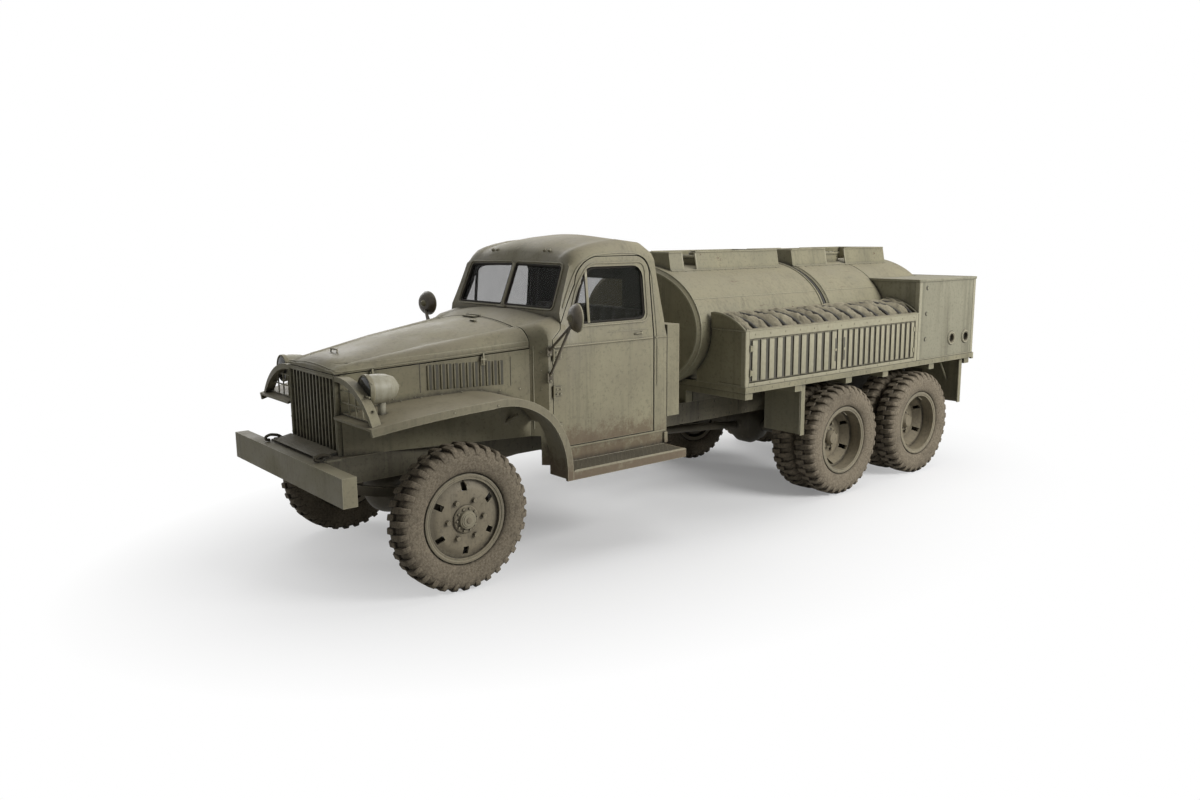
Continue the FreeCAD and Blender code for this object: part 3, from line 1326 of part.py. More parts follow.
PORT_PLACES = (560, 800)  # behind the cabinet's front
PORT_HEIGHT = 168  # above its foot
PORT_HOLE = 52.0
PORT_BORE = 38.0
PORT_SEAT = -22.0  # how deep the bore goes into the side
CABINET_FACE = REAR_Y - 14
CABINET_AXIS_X = DECK_X - 48 - 1
CABINET_AXIS_Y = CABINET_FACE + S.small_hinge_radius + S.seat_clearance


def rear_cabinet():
    """The cabinet over the deck's rear end, which the rear tank runs into."""
    w = S.cabinet_wall
    half = DECK_X - 8
    z0 = S.deck_top + S.seat_clearance
    depth = CABINET_FACE - CABINET_Y
    outer = box(2 * half, depth, S.cabinet_height, (-half, CABINET_Y, z0))
    inside = box(2 * half - 2 * w, depth - 2 * w, S.cabinet_height - 2 * w, (-half + w, CABINET_Y + w, z0 + w))
    doorways = []
    for x in (-half + 40, 10):
        doorways.append(box(half - 50, 4 * w, S.cabinet_height - 80, (x, CABINET_FACE - 2 * w, z0 + 40)))
    ports = [cylinder(PORT_HOLE, 200, (side * half - 100, CABINET_Y + y, z0 + PORT_HEIGHT), "x")
             for side in (1, -1) for y in PORT_PLACES]
    node("rear_cabinet", cut(outer, inside, *doorways, *ports, tank_relief(10, CABINET_Y - 50, TANK_REAR + 10)))


def hose_ports():
    """Round hose outlets that stand in the cabinet's sides."""
    half = DECK_X - 8
    z0 = S.deck_top + S.seat_clearance
    ports = []
    for y in PORT_PLACES:
        outline = [
            (-60, 0), (-60, 44), (-S.cabinet_wall - 4, 44), (-S.cabinet_wall - 4, PORT_HOLE - 0.4),
            (0.4, PORT_HOLE - 0.4),
            (0.4, 60), (8, 60), (8, PORT_BORE), (PORT_SEAT, PORT_BORE), (PORT_SEAT, 0),
        ]
        ports.append(turned(outline, (half, CABINET_Y + y, z0 + PORT_HEIGHT)))
    node("hose_ports", group(*[p for port in ports for p in (port, mirror(port))]))


def cabinet_doors():
    """Rear doors, hinged at the cabinet's corners."""
    half = DECK_X - 8
    z0 = S.deck_top + S.seat_clearance
    gap = S.door_gap
    leaf = box(half - 50 - 2 * gap, S.cabinet_wall, S.cabinet_height - 80 - 2 * gap,
               (10 + gap, CABINET_FACE - S.cabinet_wall, z0 + 40 + gap))
    hinges = []
    for z in (z0 + 110, z0 + S.cabinet_height - 190):
        hinges.append(cylinder("sizes.small_hinge_radius", 80, (CABINET_AXIS_X, CABINET_AXIS_Y, z)))
        hinges.append(box(60, CABINET_AXIS_Y + 5 - CABINET_FACE + 4, 60,
                          (CABINET_AXIS_X - 60, CABINET_FACE - 4, z + 10)))
    node("left_cabinet_door", fuse(leaf, *hinges))


def mudguards():
    """Upright splash guards in front of and behind the bogie's wheels, hung from the deck."""
    top = DECK_BOTTOM - S.seat_clearance
    pieces = []
    width = DECK_X - 25 - 640
    for y, low, flange in ((AXLE_R1 - S.tyre_radius - 60, 580, -1), (AXLE_R2 + S.tyre_radius + 240, 575, -1)):
        sheet_part = box(width, 8, top - low, (640, y, low))
        edge = box(10, 46, top - low, (640 + width - 10, y - (46 if flange < 0 else 0) + 8, low))
        pieces.append(fuse(sheet_part, edge))
    stay = strut((900, AXLE_R2 + S.tyre_radius + 90, top), (900, AXLE_R2 + S.tyre_radius + 242, top - 220), 9)
    pieces[1] = fuse(pieces[1], cut(stay, box(400, 400, 60, (700, AXLE_R2 + S.tyre_radius, top))))
    node("mudguards", group(*[q for p in pieces for q in (p, mirror(p))]))


def build():
    frame_rails()
    cross_members()
    bumper()
    front_axle()
    node("left_knuckle", knuckle())
    mirrored_node("right_knuckle", "left_knuckle")
    rear_axles()
    leaf_springs()
    driveline()
    engine()
    radiator()
    exhaust()
    fuel_tank()
    front_wheel()
    mirrored_node("front_right_tyre", "front_left_tyre")
    mirrored_node("front_right_rim", "front_left_rim")
    for place, y in (("middle", AXLE_R1), ("rear", AXLE_R2)):
        rear_wheel(f"{place}_left", y)
        mirrored_node(f"{place}_right_tyres", f"{place}_left_tyres")
        mirrored_node(f"{place}_right_rims", f"{place}_left_rims")
    grille()
    hood()
    hood_sides()
    front_fenders()
    brush_guards()
    headlights()
    cab()
    mirrored_node("right_door", "left_door")
    mirrored_node("right_door_glass", "left_door_glass")
    cab_glass()
    seats()
    steering()
    running_boards()
    mirrors()
    cross_locker()
    deck_frame()
    tanks()
    coamings()
    hatch_lids()
    lockers()
    locker_doors()
    for place in ("front", "rear"):
        mirrored_node(f"right_locker_{place}_door", f"left_locker_{place}_door")
    covers()
    rear_cabinet()
    hose_ports()
    cabinet_doors()
    mirrored_node("right_cabinet_door", "left_cabinet_door")
    mudguards()


build()
doc.recompute()
faults = [f"{o.Label}: {o.State}" for o in doc.Objects if "Invalid" in o.State or "Error" in o.State]
for name, obj in NODES:
    if obj.Shape.isNull() or not obj.Shape.isValid() or not obj.Shape.Solids:
        faults.append(f"{name}: its shape is null, invalid or has no solid")
if faults:
    raise RuntimeError("; ".join(faults))
os.makedirs("parts", exist_ok=True)
for name, obj in NODES:
    obj.Shape.exportStep(f"parts/{name}.step")
print(len(NODES), "nodes")
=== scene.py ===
"""A weathered three-axle tanker truck: its finishes and fittings, on the frame that the CAD packed.

Metres, +X to the truck's left, +Y to its rear, +Z up.
"""
import bmesh
import bpy
import json
import math
from mathutils import Matrix, Vector
from mathutils.bvhtree import BVHTree

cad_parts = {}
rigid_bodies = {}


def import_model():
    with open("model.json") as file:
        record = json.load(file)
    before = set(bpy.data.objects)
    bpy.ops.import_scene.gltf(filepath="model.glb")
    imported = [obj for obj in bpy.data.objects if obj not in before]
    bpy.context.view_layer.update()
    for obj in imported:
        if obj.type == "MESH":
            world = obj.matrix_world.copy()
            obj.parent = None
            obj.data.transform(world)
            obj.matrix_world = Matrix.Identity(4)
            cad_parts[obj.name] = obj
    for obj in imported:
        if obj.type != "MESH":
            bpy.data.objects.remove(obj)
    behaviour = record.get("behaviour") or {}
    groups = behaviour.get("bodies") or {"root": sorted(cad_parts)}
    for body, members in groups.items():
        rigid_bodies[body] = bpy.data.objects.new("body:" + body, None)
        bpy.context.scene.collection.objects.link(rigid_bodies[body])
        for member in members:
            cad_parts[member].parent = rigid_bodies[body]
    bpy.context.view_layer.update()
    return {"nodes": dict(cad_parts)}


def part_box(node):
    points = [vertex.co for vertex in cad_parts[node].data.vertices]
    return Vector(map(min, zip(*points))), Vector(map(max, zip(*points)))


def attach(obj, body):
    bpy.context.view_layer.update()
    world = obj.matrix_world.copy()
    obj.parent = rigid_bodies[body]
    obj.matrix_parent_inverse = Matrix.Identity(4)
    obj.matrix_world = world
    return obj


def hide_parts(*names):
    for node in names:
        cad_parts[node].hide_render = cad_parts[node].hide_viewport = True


for leftover in list(bpy.data.objects):
    bpy.data.objects.remove(leftover)
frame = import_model()

# ---- Finishes ----
OLIVE = (0.218, 0.195, 0.126)
OLIVE_DARK = (0.11, 0.099, 0.062)
OLIVE_PALE = (0.29, 0.266, 0.172)
# painted shade for the cab's inner faces
CAB_INSIDE_SHADE = (0.03, 0.028, 0.02)
# pale for worn paint and a painted highlight on outer edges
WORN_AND_HIGHLIGHT = (0.4, 0.372, 0.262)
DUST = (0.33, 0.285, 0.2)
RUST = (0.105, 0.062, 0.035)
# dark for grime, and for painted shade in corners
GRIME_AND_SHADE = (0.022, 0.019, 0.014)
# how strongly each mark shows on old paint; the last is the painted shade, with grime, in corners
SPECKLE_SHARE, RUNS_SHARE, RUST_SHARE, CORNER_SHADE_SHARE = 0.45, 0.52, 0.62, 0.92
EDGE_WIDTH = 0.006


class Wires:
    """Adds nodes to a tree and joins them in one call."""

    def __init__(self, tree):
        self.tree = tree

    def add(self, kind, settings=None, **inputs):
        made = self.tree.nodes.new(kind)
        for key, value in (settings or {}).items():
            setattr(made, key, value)
        for key, value in inputs.items():
            self.feed(made, key, value)
        return made

    def feed(self, made, key, value):
        """Joins or sets an input, named as it is or by its number: i0, i1."""
        numbered = key[0] == "i" and key[1:].isdigit()
        socket = made.inputs[int(key[1:])] if numbered else made.inputs[key.replace("_", " ")]
        if isinstance(value, bpy.types.NodeSocket):
            self.tree.links.new(value, socket)
        elif socket.type == "RGBA":
            socket.default_value = (*value, 1)
        else:
            socket.default_value = value

    def coordinate(self, kind="Object"):
        return self.add("ShaderNodeTexCoord").outputs[kind]

    def upright(self, vector):
        return self.add("ShaderNodeSeparateXYZ", Vector=vector).outputs["Z"]

    def noise(self, vector, scale, detail, roughness):
        inputs = {"Vector": vector, "Scale": scale, "Detail": detail, "Roughness": roughness}
        return self.add("ShaderNodeTexNoise", **inputs).outputs["Fac"]

    def math(self, operation, a, b, clamp=False):
        settings = {"operation": operation, "use_clamp": clamp}
        return self.add("ShaderNodeMath", settings, i0=a, i1=b).outputs[0]

    def times(self, a, b, clamp=False):
        return self.math("MULTIPLY", a, b, clamp)

    def ramp(self, value, low, high, to_low=0.0, to_high=1.0):
        inputs = {"Value": value, "From_Min": low, "From_Max": high, "To_Min": to_low, "To_Max": to_high}
        return self.add("ShaderNodeMapRange", **inputs).outputs["Result"]

    def mix(self, factor, a, b):
        return self.add("ShaderNodeMix", {"data_type": "RGBA"}, Factor=factor, i6=a, i7=b).outputs[2]

    def vector(self, operation, a, **inputs):
        return self.add("ShaderNodeVectorMath", {"operation": operation}, i0=a, **inputs).outputs

    def stretched(self, vector, scale):
        return self.vector("MULTIPLY", vector, i1=scale)[0]

    def closed_in(self, distance, samples, inside=False):
        settings = {"samples": samples, "inside": inside}
        return self.add("ShaderNodeAmbientOcclusion", settings, Distance=distance).outputs["AO"]

    def use(self, tree, place, **numbers):
        return self.add("ShaderNodeGroup", {"node_tree": tree}, Vector=place, **numbers).outputs

    def unshaded_rays(self):
        """1 for what the camera, a reflection or a pane shows, and 0 for what lights the truck."""
        path = self.add("ShaderNodeLightPath").outputs
        through = self.math("MAXIMUM", path["Is Glossy Ray"], path["Is Transmission Ray"])
        return self.math("MAXIMUM", path["Is Camera Ray"], through)


def group(name, numbers, build):
    """A shader node group: a place and named numbers go in, and the masks that build makes come out."""
    tree = bpy.data.node_groups.new(name, "ShaderNodeTree")
    tree.interface.new_socket("Vector", in_out="INPUT", socket_type="NodeSocketVector")
    for label, start in numbers.items():
        socket = tree.interface.new_socket(label, in_out="INPUT", socket_type="NodeSocketFloat")
        socket.default_value = start
    given = tree.nodes.new("NodeGroupInput").outputs
    masks = build(Wires(tree), given["Vector"], *(given[label] for label in numbers))
    out = tree.nodes.new("NodeGroupOutput")
    for label, mask in masks.items():
        tree.interface.new_socket(label, in_out="OUTPUT", socket_type="NodeSocketFloat")
        tree.links.new(mask, out.inputs[label])
    return tree


def paint_age(w, vector, scale):
    """Large faded patches, small speckle, chips with thin scratches, and fine grain."""
    place = w.vector("SCALE", vector, Scale=scale)[0]
    scratched = w.noise(w.stretched(place, (34.0, 3.2, 34.0)), 1.0, 5.0, 0.75)
    scratches = w.times(w.ramp(scratched, 0.648, 0.675), 0.8)
    return {
        "Patches": w.ramp(w.noise(place, 2.3, 5.0, 0.62), 0.36, 0.66),
        "Speckle": w.ramp(w.noise(place, 42.0, 3.0, 0.7), 0.52, 0.7),
        "Chips": w.math("MAXIMUM", w.ramp(w.noise(place, 9.0, 8.0, 0.78), 0.63, 0.66), scratches),
        "Grain": w.noise(place, 260.0, 2.0, 0.5),
    }


def dirt_runs(w, vector, scale):
    """Runs of dirt down upright faces."""
    place = w.vector("SCALE", vector, Scale=scale)[0]
    fine = w.noise(w.stretched(place, (26.0, 26.0, 1.3)), 1.0, 4.0, 0.7)
    broad = w.noise(w.stretched(place, (5.0, 5.0, 0.8)), 1.0, 3.0, 0.5)
    return {"Runs": w.ramp(w.times(fine, broad), 0.25, 0.42)}


def settled_dust(w, vector, amount, splash_height):
    """Dust that lies on faces that look up, and low down on the truck."""
    up = w.ramp(w.upright(w.coordinate("Normal")), 0.25, 0.95)
    low = w.ramp(w.math("DIVIDE", w.upright(vector), splash_height), 1.15, 0.25)
    both = w.math("MAXIMUM", up, w.times(low, 0.8))
    broken = w.ramp(w.noise(vector, 6.0, 6.0, 0.7), 0.3, 0.7, 0.35, 1.0)
    return {"Dust": w.times(w.times(both, broken), amount, True)}


def corner_shade_and_edges(w, vector, reach):
    """Painted shade with some grime in the corners and between parts, and worn paint with a painted highlight
    on the outer edges.
    """
    broken = w.ramp(w.noise(vector, 30.0, 4.0, 0.7), 0.3, 0.7, 0.55, 1.25)
    near, past = w.closed_in(reach, 6), w.closed_in(EDGE_WIDTH, 4, True)
    return {
        "Grime_And_Shade": w.times(w.ramp(near, 0.94, 0.46), broken, True),
        "Wear_And_Highlight": w.times(w.ramp(past, 0.92, 0.45), broken, True),
    }


def rust_line(w, vector, edge, reach):
    """Rust and mud that creep up from a lower edge."""
    share = w.math("DIVIDE", w.math("SUBTRACT", w.upright(vector), edge), reach)
    patchy = w.noise(vector, 11.0, 8.0, 0.8)
    rust = w.ramp(w.math("ADD", w.ramp(share, 0.0, 1.0, 0.36, 0.0), patchy), 0.62, 0.8)
    return {"Rust": w.times(rust, w.ramp(share, 1.6, 0.9), True)}


def cab_shaded_inside(w, vector):
    """1 on the cab's inner faces, which look towards its middle, and 0 on its outer ones: the faces that get
    painted shade.
    """
    away = w.vector("SUBTRACT", vector, i1=(0.0, -1.15, 1.35))[0]
    toward = w.vector("DOT_PRODUCT", w.coordinate("Normal"), i1=away)["Value"]
    return {"Inside": w.ramp(toward, 0.01, -0.01)}


AGE = group("paint_age", {"Scale": 1.0}, paint_age)
RUNS = group("dirt_runs", {"Scale": 1.0}, dirt_runs)
SETTLED = group("settled_dust", {"Amount": 0.5, "Splash Height": 0.9}, settled_dust)
CORNER_SHADE = group("corner_shade_and_edges", {"Reach": 0.045}, corner_shade_and_edges)
RUST_LINE = group("rust_line", {"Edge": 0.75, "Reach": 0.2}, rust_line)
CAB_INNER_SHADE = group("cab_shaded_inside", {}, cab_shaded_inside)


def start_material(name):
    material = bpy.data.materials.new(name)
    material.use_nodes = True
    w = Wires(material.node_tree)
    return material, material.node_tree.nodes["Principled BSDF"], w, w.coordinate()


def set_shader(w, shader, color, rough, bump=None, **others):
    """Feeds the shader; the bump is its strength, its distance and its height."""
    if bump:
        strength, distance, height = bump
        made = w.add("ShaderNodeBump", Strength=strength, Distance=distance, Height=height)
        others["Normal"] = made.outputs["Normal"]
    for label, value in {"Base Color": color, "Roughness": rough, **others}.items():
        w.feed(shader, label, value)


def dimmer(color):
    return tuple(0.6 * c for c in color)


def painted(name, base, faded, dark, dust=0.5, chips=0.5, splash=0.95, wear_and_highlight=0.75, rough=(0.5, 0.8),
            rust_edge=None, inner=None):
    """Old flat paint: faded patches, chips, runs of dirt and settled dust, worn edges with a painted
    highlight, painted shade and grime in corners, and painted shade inside the cab when inner is given.
    """
    material, shader, w, place = start_material(name)
    age = w.use(AGE, place, Scale=1.0)
    color = w.mix(age["Patches"], base, faded)
    color = w.mix(w.times(age["Speckle"], SPECKLE_SHARE), color, dark)
    color = w.mix(w.times(w.use(RUNS, place, Scale=1.0)["Runs"], RUNS_SHARE), color, dark)
    chipped = w.times(age["Chips"], chips)
    color = w.mix(chipped, color, RUST)
    settled = w.use(SETTLED, place, Amount=dust, Splash_Height=splash)["Dust"]
    color = w.mix(settled, color, DUST)
    if rust_edge:
        rust = w.use(RUST_LINE, place, Edge=rust_edge, Reach=0.24)["Rust"]
        color = w.mix(w.times(rust, RUST_SHARE), color, RUST)
    # a painted highlight with worn paint on outer edges, and painted shade with grime in corners
    shade_and_edges = w.use(CORNER_SHADE, place)
    color = w.mix(w.times(shade_and_edges["Wear_And_Highlight"], wear_and_highlight), color, WORN_AND_HIGHLIGHT)
    color = w.mix(w.times(shade_and_edges["Grime_And_Shade"], CORNER_SHADE_SHARE), color, GRIME_AND_SHADE)
    # painted shade on the cab's inner faces, in the inner colour
    if inner:
        color = w.mix(w.use(CAB_INNER_SHADE, place)["Inside"], color, w.mix(age["Patches"], inner, dimmer(inner)))
    height = w.math("ADD", w.times(age["Grain"], 0.4), w.times(chipped, -0.8))
    dents = w.times(w.noise(place, 3.2, 2.0, 0.4), 6.0)
    rough = w.ramp(w.math("ADD", age["Patches"], settled), 0.0, 1.4, *rough)
    height = w.math("ADD", height, dents)
    set_shader(w, shader, color, rough, (0.12, 0.004, height), Specular_IOR_Level=0.42)
    return material


def rubber(name, base, dusty, dust):
    """Rubber with dry mud on it."""
    material, shader, w, place = start_material(name)
    age = w.use(AGE, place, Scale=2.0)
    color = w.mix(age["Patches"], base, dimmer(base))
    broad = w.ramp(w.noise(place, 5.0, 5.0, 0.6), 0.22, 0.5, 0.45, 1.0)
    fine = w.ramp(w.noise(place, 75.0, 4.0, 0.75), 0.36, 0.62, 0.4, 1.0)
    color = w.mix(w.times(w.times(broad, fine), dust), color, dusty)
    # painted shade with some grime in the rubber's corners and between the tyre's bars
    color = w.mix(w.times(w.use(CORNER_SHADE, place)["Grime_And_Shade"], 0.95), color, GRIME_AND_SHADE)
    rough = w.ramp(age["Speckle"], 0.0, 1.0, 0.82, 0.95)
    set_shader(w, shader, color, rough, (0.6, 0.002, age["Grain"]), Specular_IOR_Level=0.25)
    return material


def metal(name, base, rust, rough=(0.35, 0.6), metallic=0.8):
    material, shader, w, place = start_material(name)
    age = w.use(AGE, place, Scale=3.0)
    rusty = w.times(age["Patches"], rust)
    rough = w.ramp(age["Speckle"], 0.0, 1.0, *rough)
    bright = w.ramp(rusty, 0.0, 0.6, metallic, 0.1)
    set_shader(w, shader, w.mix(rusty, base, RUST), rough, (0.15, 0.001, age["Grain"]), Metallic=bright)
    return material


def pane(name, tint, rough, dust, clear, gloss=0.5):
    """Glass with a film of dust."""
    material, shader, w, place = start_material(name)
    film = w.ramp(w.noise(place, 4.0, 6.0, 0.7), 0.35, 0.75, 0.0, dust)
    see_through = w.ramp(film, 0.0, 0.5, clear, clear + 0.25)
    set_shader(w, shader, w.mix(film, tint, DUST), w.ramp(film, 0.0, 0.5, rough, 0.5),
               Alpha=see_through, Metallic=0.0, IOR=1.45, Specular_IOR_Level=gloss)
    return material


def canvas(name, base, worn):
    """Coarse woven cloth, worn pale in patches."""
    material, shader, w, place = start_material(name)
    age = w.use(AGE, place, Scale=2.2)
    color = w.mix(age["Patches"], base, worn)
    color = w.mix(w.times(age["Speckle"], 0.4), color, GRIME_AND_SHADE)
    color = w.mix(w.use(SETTLED, place, Amount=0.35)["Dust"], color, DUST)
    # painted shade with some grime in the cover's valleys and corners
    color = w.mix(w.use(CORNER_SHADE, place, Reach=0.105)["Grime_And_Shade"], color, GRIME_AND_SHADE)
    threads = [
        w.add("ShaderNodeTexWave", {"bands_direction": way}, Vector=place, Scale=110.0, Distortion=0.6)
        for way in ("Y", "X")
    ]
    weave = w.math("MAXIMUM", *(thread.outputs["Fac"] for thread in threads))
    crumple = w.times(w.noise(place, 14.0, 4.0, 0.6), 5.0)
    rough = w.ramp(weave, 0.0, 1.0, 0.95, 0.8)
    set_shader(w, shader, color, rough, (0.45, 0.003, w.math("ADD", weave, crumple)))
    return material


def hide(name, base, worn):
    """Cracked old seat covering."""
    material, shader, w, place = start_material(name)
    cells = w.add("ShaderNodeTexVoronoi", {"feature": "DISTANCE_TO_EDGE"}, Vector=place, Scale=320.0)
    patches = w.use(AGE, place, Scale=3.0)["Patches"]
    crease = w.ramp(cells.outputs["Distance"], 0.0, 0.12)
    rough = w.ramp(patches, 0.0, 1.0, 0.45, 0.75)
    set_shader(w, shader, w.mix(patches, base, worn), rough, (0.08, 0.0006, crease))
    return material


# each finish: its slot, its material, and the CAD nodes that wear it
FINISHES = {
    "body": ("olive_paint", painted("olive_body", OLIVE, OLIVE_PALE, OLIVE_DARK, 0.4, 0.35),
             "bumper hood_sides brush_guards cross_locker hood"),
    "door": ("olive_paint", painted("olive_door", OLIVE, OLIVE_PALE, OLIVE_DARK, 0.4, 0.3,
                                    rust_edge=0.755, inner=CAB_INSIDE_SHADE), "left_door right_door"),
    "cab": ("olive_paint", painted("olive_cab", OLIVE, OLIVE_PALE, OLIVE_DARK, 0.4, 0.3,
                                   rust_edge=0.65, inner=CAB_INSIDE_SHADE), "cab_shell"),
    "fender": ("olive_paint", painted("olive_fender", (0.19, 0.168, 0.108), (0.265, 0.24, 0.158), OLIVE_DARK,
                                      0.55, 0.7, 1.1, rust_edge=0.6), "front_fenders running_boards"),
    "tank": ("olive_paint", painted("olive_tank", (0.222, 0.204, 0.13), OLIVE_PALE, OLIVE_DARK,
                                    0.35, 1.0, 0.6),
             "tanks tank_coamings front_hatch_lid rear_hatch_lid"),
    "cabinet": ("olive_paint", painted("olive_cabinet", (0.245, 0.232, 0.162), (0.3, 0.285, 0.205),
                                       OLIVE_DARK, 0.35, 0.35, 0.9),
                "rear_cabinet left_cabinet_door right_cabinet_door"),
    "locker": ("olive_paint", painted("olive_locker", (0.225, 0.207, 0.132), OLIVE_PALE, OLIVE_DARK,
                                      0.35, 0.3, 0.8), "grille deck_frame lockers mudguards"),
    "chassis": ("chassis_paint", painted("dark_chassis", (0.06, 0.053, 0.036), (0.105, 0.092, 0.062), GRIME_AND_SHADE,
                                         0.35, 0.5, 0.9, 0.35),
                "cross_members front_axle rear_axles leaf_springs driveline fuel_tank left_knuckle "
                "right_knuckle"),
    "rail": ("chassis_paint", painted("rail_paint", (0.108, 0.097, 0.064), (0.16, 0.143, 0.096), GRIME_AND_SHADE,
                                      0.35, 0.5, 0.7, 0.5), "frame_rails"),
    # headlight shells paler than the olive paint: a painted highlight
    "lamp": ("olive_paint", painted("lamp_shell_highlight", (0.33, 0.312, 0.232), (0.42, 0.4, 0.31), OLIVE,
                                    0.2, 0.4, 0.6, rough=(0.4, 0.68)), "headlights"),
    "wheel": ("wheel_paint", painted("olive_wheel", (0.17, 0.145, 0.096), (0.235, 0.2, 0.135), GRIME_AND_SHADE,
                                     0.45, 0.5, 0.9, 0.5), "hose_ports"),
    "inside": ("fittings_paint", painted("olive_inside", (0.05, 0.046, 0.033), (0.08, 0.073, 0.05), GRIME_AND_SHADE,
                                         0.1, 0.2, 0.4, 0.3), "cab_fittings"),
    "black": ("dark_plastic", painted("worn_black", (0.018, 0.017, 0.015), (0.035, 0.032, 0.028), GRIME_AND_SHADE,
                                      0.08, 0.2, 0.5, 0.2), "steering_wheel"),
    "step": ("chassis_paint", painted("step_tread", (0.04, 0.033, 0.024), (0.095, 0.08, 0.056), GRIME_AND_SHADE,
                                      0.14, 0.3, 0.4, 0.18), ""),
    "backing": ("chassis_paint", painted("mirror_back", (0.085, 0.07, 0.047), (0.2, 0.17, 0.12), GRIME_AND_SHADE,
                                         0.15, 0.9, 0.5, 0.9, (0.35, 0.6)), "mirrors"),
    "tyre": ("tyre", rubber("tyre_rubber", (0.06, 0.05, 0.037), (0.285, 0.24, 0.172), 0.92), ""),
    "seal": ("tyre", rubber("seal_rubber", (0.012, 0.012, 0.011), (0.1, 0.085, 0.062), 0.25), ""),
    "iron": ("cast_iron", metal("engine_iron", (0.1, 0.095, 0.085), 0.5, (0.55, 0.8), 0.5), "engine exhaust"),
    "mirror": ("port_metal", metal("mirror_silver", (0.85, 0.86, 0.86), 0.0, (0.04, 0.12), 1.0), ""),
    # near-black, mostly opaque window glass: painted shade of the cab's inside
    "glass": ("glass", pane("window_glass_shade", (0.016, 0.019, 0.016), 0.05, 0.08, 0.26, 0.16),
              "cab_glass left_door_glass right_door_glass"),
    "lens": ("glass", pane("lamp_lens", (0.075, 0.078, 0.068), 0.06, 0.12, 0.7), ""),
    "red": ("glass", pane("red_lens", (0.3, 0.02, 0.015), 0.15, 0.2, 0.75), ""),
    "canvas": ("canvas", canvas("cover_canvas", (0.205, 0.182, 0.118), (0.345, 0.312, 0.215)), ""),
    "seat": ("seat_cover", hide("seat_covering", (0.045, 0.037, 0.026), (0.085, 0.07, 0.05)), ""),
    "core": ("cast_iron", painted("radiator_core", (0.014, 0.014, 0.012), (0.026, 0.024, 0.02), GRIME_AND_SHADE,
                                  0.1, 0.1, wear_and_highlight=0.2), "radiator"),
}
NODE_FINISH = {label: key for key, (_, _, nodes) in FINISHES.items() for label in nodes.split()}
for label, node in frame["nodes"].items():
    other = "wheel" if "_rim" in label else "locker" if "locker" in label else "tyre"
    finish = NODE_FINISH.get(label, other)
    node.data.materials.clear()
    node.data.materials.append(FINISHES[finish][1])
    node.data.shade_smooth()
    weld = node.modifiers.new("joined", "WELD")
    weld.merge_threshold = 0.00005
    split = node.modifiers.new("sharp_edges", "EDGE_SPLIT")
    split.split_angle = math.radians(32)


# ---- Modelling helpers ----
EDGES = {"affect": "EDGES", "profile": 0.5, "material": -1}


def piece(bm, name, body, finish, smooth=35.0, normals=True):
    """Turns a bmesh into a finished piece that rides on a body."""
    if normals:
        bmesh.ops.recalc_face_normals(bm, faces=bm.faces)
    slot, material, _ = FINISHES[finish]
    mesh = bpy.data.meshes.new(name)
    bm.to_mesh(mesh)
    bm.free()
    mesh.shade_smooth()
    mesh.set_sharp_from_angle(angle=math.radians(smooth))
    mesh.materials.append(material)
    made = bpy.data.objects.new(name, mesh)
    bpy.context.scene.collection.objects.link(made)
    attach(made, body)
    return made


def verts_of(made):
    return [g for g in made["geom"] if isinstance(g, bmesh.types.BMVert)]


def once(items):
    """The items without repeats, in their order."""
    return list(dict.fromkeys(items))


def edges_of(verts):
    return once(e for v in verts for e in v.link_edges)


def add_cube(bm, place, size, bevel=0.0, segments=1):
    """A box of a size, its edges rounded."""
    verts = bmesh.ops.create_cube(bm, size=1, matrix=place @ Matrix.Diagonal((*size, 1)))["verts"]
    if bevel:
        bmesh.ops.bevel(bm, geom=edges_of(verts), offset=bevel, segments=segments, **EDGES)
    return verts


def add_block(bm, low, high, bevel=0.0, segments=1):
    """A box between two corners."""
    low, high = Vector(low), Vector(high)
    return add_cube(bm, Matrix.Translation((low + high) / 2), high - low, bevel, segments)


def add_bar(bm, start, end, normal, width, depth, bevel=0.0):
    """A flat bar from start to end: its width across, and its depth along the normal."""
    start, end, normal = Vector(start), Vector(end), Vector(normal).normalized()
    axis = (end - start).normalized()
    across = axis.cross(normal).normalized()
    turn = Matrix((axis, across, axis.cross(across) * -1)).transposed().to_4x4()
    place = Matrix.Translation((start + end) / 2) @ turn
    return add_cube(bm, place, ((end - start).length, width, depth), bevel, 2)


def facing(direction):
    """The turn that brings Z to a direction."""
    return direction.to_track_quat("Z", "Y").to_matrix().to_4x4()


def add_rod(bm, start, end, radius, sides=10, end_radius=None):
    """A round rod, or a cone when its end's radius is given."""
    start, end = Vector(start), Vector(end)
    bmesh.ops.create_cone(
        bm, cap_ends=True, segments=sides, radius1=radius, radius2=end_radius or radius,
        depth=(end - start).length, matrix=Matrix.Translation((start + end) / 2) @ facing(end - start),
    )


def add_bolt(bm, at, axis, radius=0.006, height=0.004):
    """A bolt's six-sided head, standing on a face."""
    at, axis = Vector(at), Vector(axis).normalized()
    add_rod(bm, at - axis * 0.001, at + axis * height, radius, 6, radius * 0.86)


def ring(count, start, radius):
    """Evenly spaced places round a circle, the first at an angle in degrees."""
    turns = [math.radians(360 / count * k + start) for k in range(count)]
    return [(radius * math.cos(a), radius * math.sin(a)) for a in turns]


def bolts_round(bm, centre, circle, side, radius, height):
    """Bolts round a circle, standing out along X."""
    x, y, z = centre
    for across, up in circle:
        add_bolt(bm, (x, y + across, z + up), (side, 0, 0), radius, height)


def turned_at(at, degrees, axis):
    return Matrix.Translation(at) @ Matrix.Rotation(math.radians(degrees), 4, axis)


